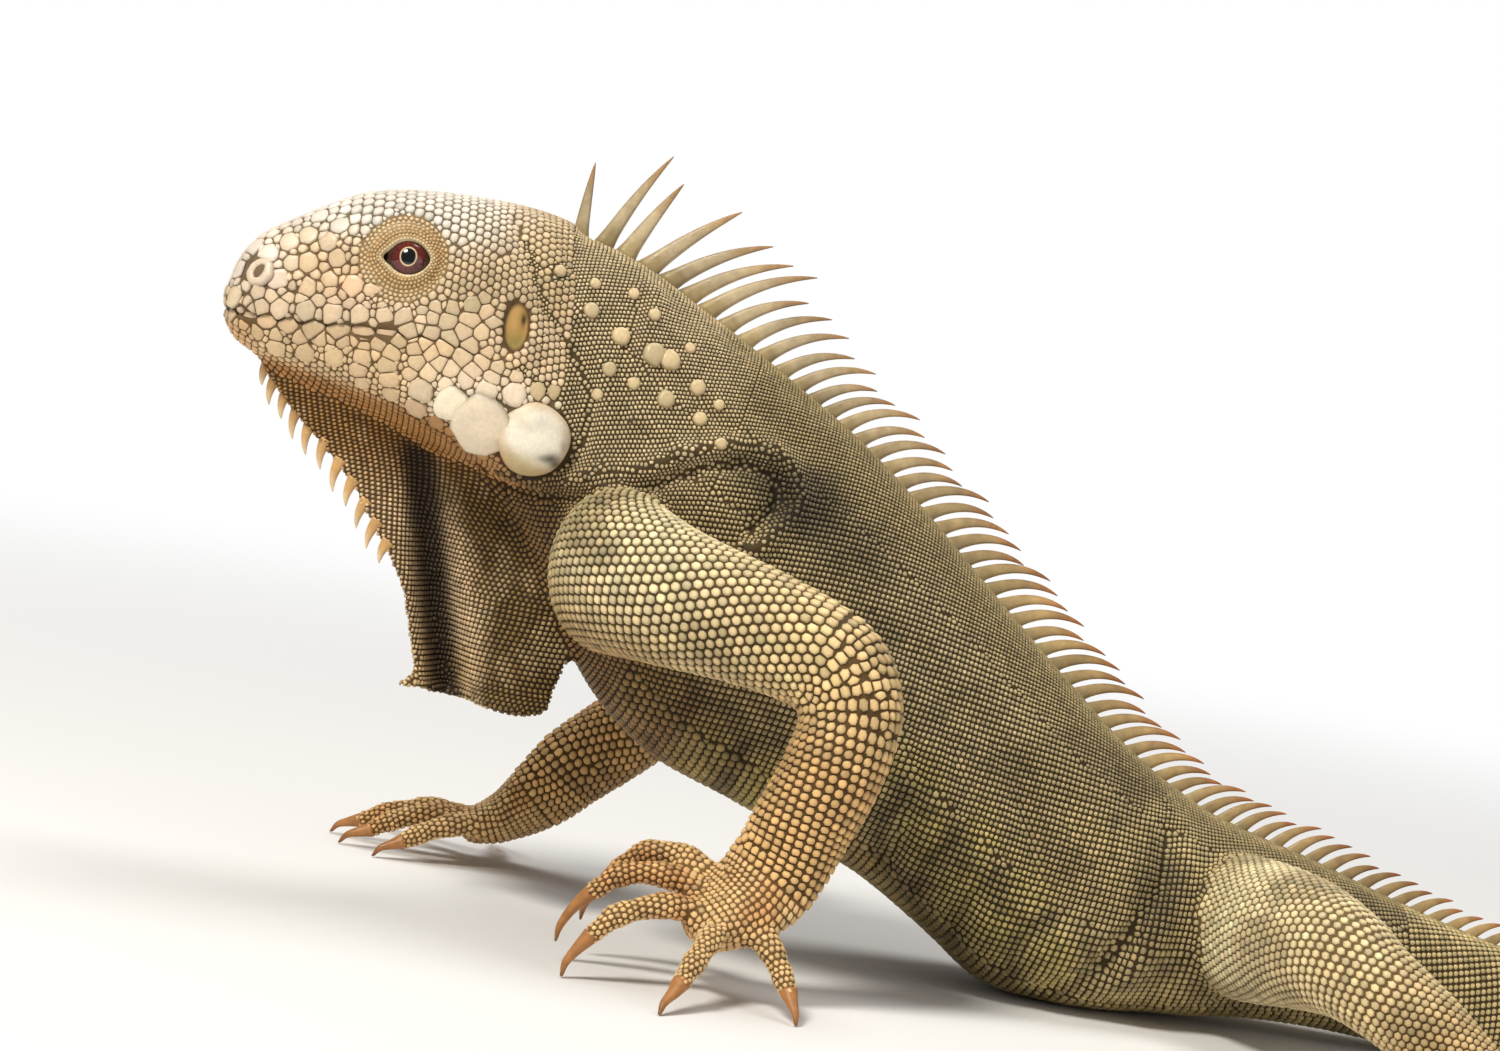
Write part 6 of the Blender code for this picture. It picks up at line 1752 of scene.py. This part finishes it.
        d = ((q[:, 0] - cx + 0.5 * noise) / rx) ** 2 + ((q[:, 2] - cz + 0.7 * noise) / rz) ** 2
        col = mixed(col, tone(58, 50, 34), k * np.exp(-d))
    verts = head_place(np.vstack([flat, pts[0].mean(0)]))
    faces = [(i * m + j, i * m + (j + 1) % m, (i + 1) * m + (j + 1) % m, (i + 1) * m + j) for i in range(n - 1) for j in range(m)]
    faces += [(n * m, (j + 1) % m, j) for j in range(m)]
    if sign > 0:
        faces = [f[::-1] for f in faces]
    add_piece(build(f"shield_scale_{side}", verts, split_faces(faces), np.vstack([col, col[:1]]), mat=PLATE_MAT), "shield", f"shield_{side}")


# ------------------------------------------------------------------ crest, throat spikes, claws
def fine_blade(root, along, up, height, width, lean, thin=0.24, rings=16, m=12, curl=0.0, sink=SINK):
    """A curved, flattened, pointed spine with a thicker foot."""
    across = np.cross(along, up)
    n = 40
    t = np.linspace(0, 1, n)
    ang = np.radians(lean[0] + (lean[1] - lean[0]) * t ** 1.15)
    step = (height + sink) / (n - 1)
    steps = (np.outer(np.cos(ang[:-1]), along) + np.outer(np.sin(ang[:-1]), up)) * step
    steps += np.outer(curl * t[:-1] ** 2 * step, across)
    path = root - up * sink + np.concatenate([[np.zeros(3)], np.cumsum(steps, axis=0)])
    b = np.linspace(0, 2 * math.pi, m, endpoint=False)
    rows, shade = [], []
    for i in range(rings):
        k = (i / (rings - 1)) ** 0.9 * 0.985
        j = k * (n - 1)
        lo = int(j)
        at = path[lo] * (1 - j + lo) + path[min(lo + 1, n - 1)] * (j - lo)
        forward = math.cos(ang[lo]) * along + math.sin(ang[lo]) * up
        edge = unit(np.cross(across, forward))
        half = width / 2 * ((1 - k) ** 0.72) * (1 + 0.22 * math.exp(-(k / 0.10) ** 2))
        thick = max(half * thin * 2.0 * (1 + 0.5 * math.exp(-(k / 0.12) ** 2)), 0.12)
        sx, sy = np.cos(b), np.sin(b)
        rows.append(at + np.outer(np.sign(sx) * np.abs(sx) ** 1.1 * half, edge) + np.outer(np.sign(sy) * np.abs(sy) ** 0.9 * thick, across))
        shade.append(np.full(m, k))
    verts, faces = tube(np.array(rows))
    return verts, faces, np.concatenate([np.concatenate(shade), [0, 1.0]]), np.concatenate([np.tile(b, rings), [0, 0]])


crest = Pile()
_rng = np.random.default_rng(5)
for number, (u, root, along, up, height, width, lean) in enumerate(crest_spines()):
    vary = _rng.normal(0, 1, 4)
    h = height * 0.985
    verts, faces, k, b = fine_blade(root, along, up, h, width, lean, rings=16 if height > 8 else 9, m=12 if height > 8 else 8, curl=0.05 * vary[0])
    back = smoothstep(60, 170, root[0] + 80)
    foot, body_c, tip = tone(168, 146, 100), tone(196, 176, 138) * (1 - back) + tone(186, 156, 104) * back, tone(170, 128, 80) * (1 - back) + tone(168, 98, 40) * back
    col = mixed(np.tile(foot, (len(k), 1)), body_c, smoothstep(0.12, 0.3, k))
    col = mixed(col, tip, smoothstep(0.45, 0.95, k))
    edge = smoothstep(0.55, 0.95, np.abs(np.cos(b)))
    col = mixed(col, tone(112, 78, 40), 0.38 * edge * smoothstep(0.1, 0.4, k))
    streak = ripple(verts * 1.0, 3.5, 2)
    col = col * (1 + 0.16 * streak[:, None]) * (1 + 0.07 * vary[1])
    crest.add(verts, faces, np.clip(col, 0.003, 0.95))
add_piece(crest.object("crest_spines", HORN_MAT), "body_skin")

spikes = Pile()
for n, (z, length) in enumerate(THROAT_SPIKES):
    row = curve(DEWLAP_ROWS[:, 0], DEWLAP_ROWS, z)
    low = curve(DEWLAP_ROWS[:, 0], DEWLAP_ROWS, z - 2)
    x = row[1] + 0.6
    along = unit(np.array([low[1] - row[1], 0, -2.0]))
    up = np.array([along[2], 0, -along[0]])
    root = np.array([x, float(dewlap_fold(x, z)), z])
    verts, faces, k, b = fine_blade(root, along, up, length, 4.2, (70.0, 25.0), thin=0.30, rings=12, m=10)
    col = mixed(np.tile(tone(206, 160, 100), (len(k), 1)), tone(232, 204, 160), smoothstep(0.3, 0.9, k))
    spikes.add(verts, faces, col * (1 + 0.1 * ripple(verts, 3, 1))[:, None])
add_piece(spikes.object("throat_spikes", HORN_MAT), "throat_skin")

claws = Pile()
for side, _, digits, _ in ARMS:
    for rows in digits:
        claws_rows = [(x, y, z, r, 0.85 * r) for x, y, z, r in rows[3:]]
        claws_rows[0] = (*claws_rows[0][:3], 2.7, 2.5)
        u, rings = limb_rings(claws_rows, 22, 14, caps=1)
        v, f = tube(rings)
        k = np.concatenate([np.repeat(u / u[-1], 14), [0, 1]])
        col = mixed(np.tile(tone(176, 120, 66), (len(v), 1)), tone(118, 76, 40), smoothstep(0.35, 0.95, k))
        v[:, 2] = np.maximum(v[:, 2], 0.0)
        claws.add(v, f, col * (1 + 0.15 * ripple(v, 2.5, 0))[:, None])
for side, _, _, digits in LEGS:
    for rows in digits:
        claws_rows = [(x, y, z, r, 0.85 * r) for x, y, z, r in rows[3:]]
        claws_rows[0] = (*claws_rows[0][:3], 2.5, 2.3)
        u, rings = limb_rings(claws_rows, 22, 14, caps=1)
        v, f = tube(rings)
        k = np.concatenate([np.repeat(u / u[-1], 14), [0, 1]])
        col = mixed(np.tile(tone(176, 120, 66), (len(v), 1)), tone(118, 76, 40), smoothstep(0.35, 0.95, k))
        v[:, 2] = np.maximum(v[:, 2], 0.0)
        claws.add(v, f, col * (1 + 0.15 * ripple(v, 2.5, 0))[:, None])
add_piece(claws.object("claws", HORN_MAT), "limb_skin")

# ------------------------------------------------------------------ riding, floor, light, camera
FLESH = ["head", "jaw", "dewlap", "neck", "trunk", "pelvis", "tail_base", "tail_middle", "tail_rear", "tail_tip"] + [
    f"{n}_{s}" for n in ("upper_arm", "forearm", "hand", "thigh", "shank", "foot") for s in ("left", "right")]
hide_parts(*FLESH)
for obj in [skin_obj, *coat, *pieces]:
    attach(obj, "root")

floor_me = bpy.data.meshes.new("floor")
bm = bmesh.new()
bmesh.ops.create_grid(bm, x_segments=2, y_segments=2, size=6.0)
bm.to_mesh(floor_me)
bm.free()
floor = bpy.data.objects.new("floor", floor_me)
floor.location = (0, 0, -0.0004)
bpy.context.scene.collection.objects.link(floor)
floor_mat = bpy.data.materials.new("floor")
floor_mat.use_nodes = True
_n, _l = floor_mat.node_tree.nodes, floor_mat.node_tree.links
_n["Principled BSDF"].inputs["Base Color"].default_value = (0.84, 0.83, 0.81, 1)
_n["Principled BSDF"].inputs["Roughness"].default_value = 0.8
_n["Principled BSDF"].inputs["Specular IOR Level"].default_value = 0.2
# far off, the floor runs out into the white of the background
_geo = _n.new("ShaderNodeNewGeometry")
_length = _n.new("ShaderNodeVectorMath")
_length.operation = "LENGTH"
_ramp = _n.new("ShaderNodeMapRange")
_ramp.interpolation_type = "SMOOTHSTEP"
_ramp.inputs["From Min"].default_value = 0.35
_ramp.inputs["From Max"].default_value = 1.5
_glow = _n.new("ShaderNodeEmission")
_glow.inputs["Color"].default_value = (1, 1, 1, 1)
_glow.inputs["Strength"].default_value = 1.0
_blend = _n.new("ShaderNodeMixShader")
_l.new(_geo.outputs["Position"], _length.inputs[0])
_l.new(_length.outputs["Value"], _ramp.inputs["Value"])
_l.new(_ramp.outputs["Result"], _blend.inputs[0])
_l.new(_n["Principled BSDF"].outputs[0], _blend.inputs[1])
_l.new(_glow.outputs[0], _blend.inputs[2])
_l.new(_blend.outputs[0], _n["Material Output"].inputs["Surface"])
floor_me.materials.append(floor_mat)
floor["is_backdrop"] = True

world = bpy.data.worlds.new("studio")
bpy.context.scene.world = world
world.use_nodes = True
wn, wl = world.node_tree.nodes, world.node_tree.links
wn.clear()
out = wn.new("ShaderNodeOutputWorld")
lit = wn.new("ShaderNodeBackground")
lit.inputs["Color"].default_value = (0.97, 0.98, 1.0, 1)
lit.inputs["Strength"].default_value = 0.27
seen = wn.new("ShaderNodeBackground")
seen.inputs["Color"].default_value = (1, 1, 1, 1)
seen.inputs["Strength"].default_value = 1.0
path = wn.new("ShaderNodeLightPath")
mix = wn.new("ShaderNodeMixShader")
wl.new(path.outputs["Is Camera Ray"], mix.inputs[0])
wl.new(lit.outputs[0], mix.inputs[1])
wl.new(seen.outputs[0], mix.inputs[2])
wl.new(mix.outputs[0], out.inputs[0])


def area_light(name, where, target, size, power, colour):
    data = bpy.data.lights.new(name, "AREA")
    data.shape = "DISK"
    data.size = size
    data.energy = power
    data.color = colour
    obj = bpy.data.objects.new(name, data)
    obj.location = where
    obj.rotation_euler = (Vector(target) - Vector(where)).to_track_quat("-Z", "Y").to_euler()
    bpy.context.scene.collection.objects.link(obj)


area_light("key", (-1.05, -0.75, 1.6), (-0.15, 0.1, 0.1), 0.5, 30.0, (1.0, 0.965, 0.90))
area_light("fill", (1.1, -1.5, 0.8), (0.0, 0.1, 0.08), 1.4, 5.0, (1.0, 0.98, 0.96))
area_light("top", (0.15, 0.55, 1.7), (-0.1, 0.1, 0.1), 0.9, 12.0, (1.0, 0.99, 0.97))

# the camera stands where the photographer stood, leaning by ten degrees
AZ, EL, ROLL = math.radians(-5.85), math.radians(3.3), math.radians(10.0)
back_dir = Vector((math.sin(AZ) * math.cos(EL), -math.cos(AZ) * math.cos(EL), math.sin(EL)))
right = (-back_dir).cross(Vector((0, 0, 1))).normalized()
upward = right.cross(-back_dir)
turned_right = right * math.cos(ROLL) + upward * math.sin(ROLL)
turned_up = upward * math.cos(ROLL) - right * math.sin(ROLL)
cam_data = bpy.data.cameras.new("camera")
cam_data.sensor_width = 36.0
cam_data.lens = 96.0
cam_data.clip_start, cam_data.clip_end = 0.05, 30.0
camera = bpy.data.objects.new("camera", cam_data)
turn = Matrix((turned_right, turned_up, back_dir)).transposed()
camera.matrix_world = Matrix.Translation(Vector((-0.30775, -1.09252, 0.19782))) @ turn.to_4x4()
bpy.context.scene.collection.objects.link(camera)
bpy.context.scene.camera = camera
bpy.context.scene.view_settings.view_transform = "Standard"

low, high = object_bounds()
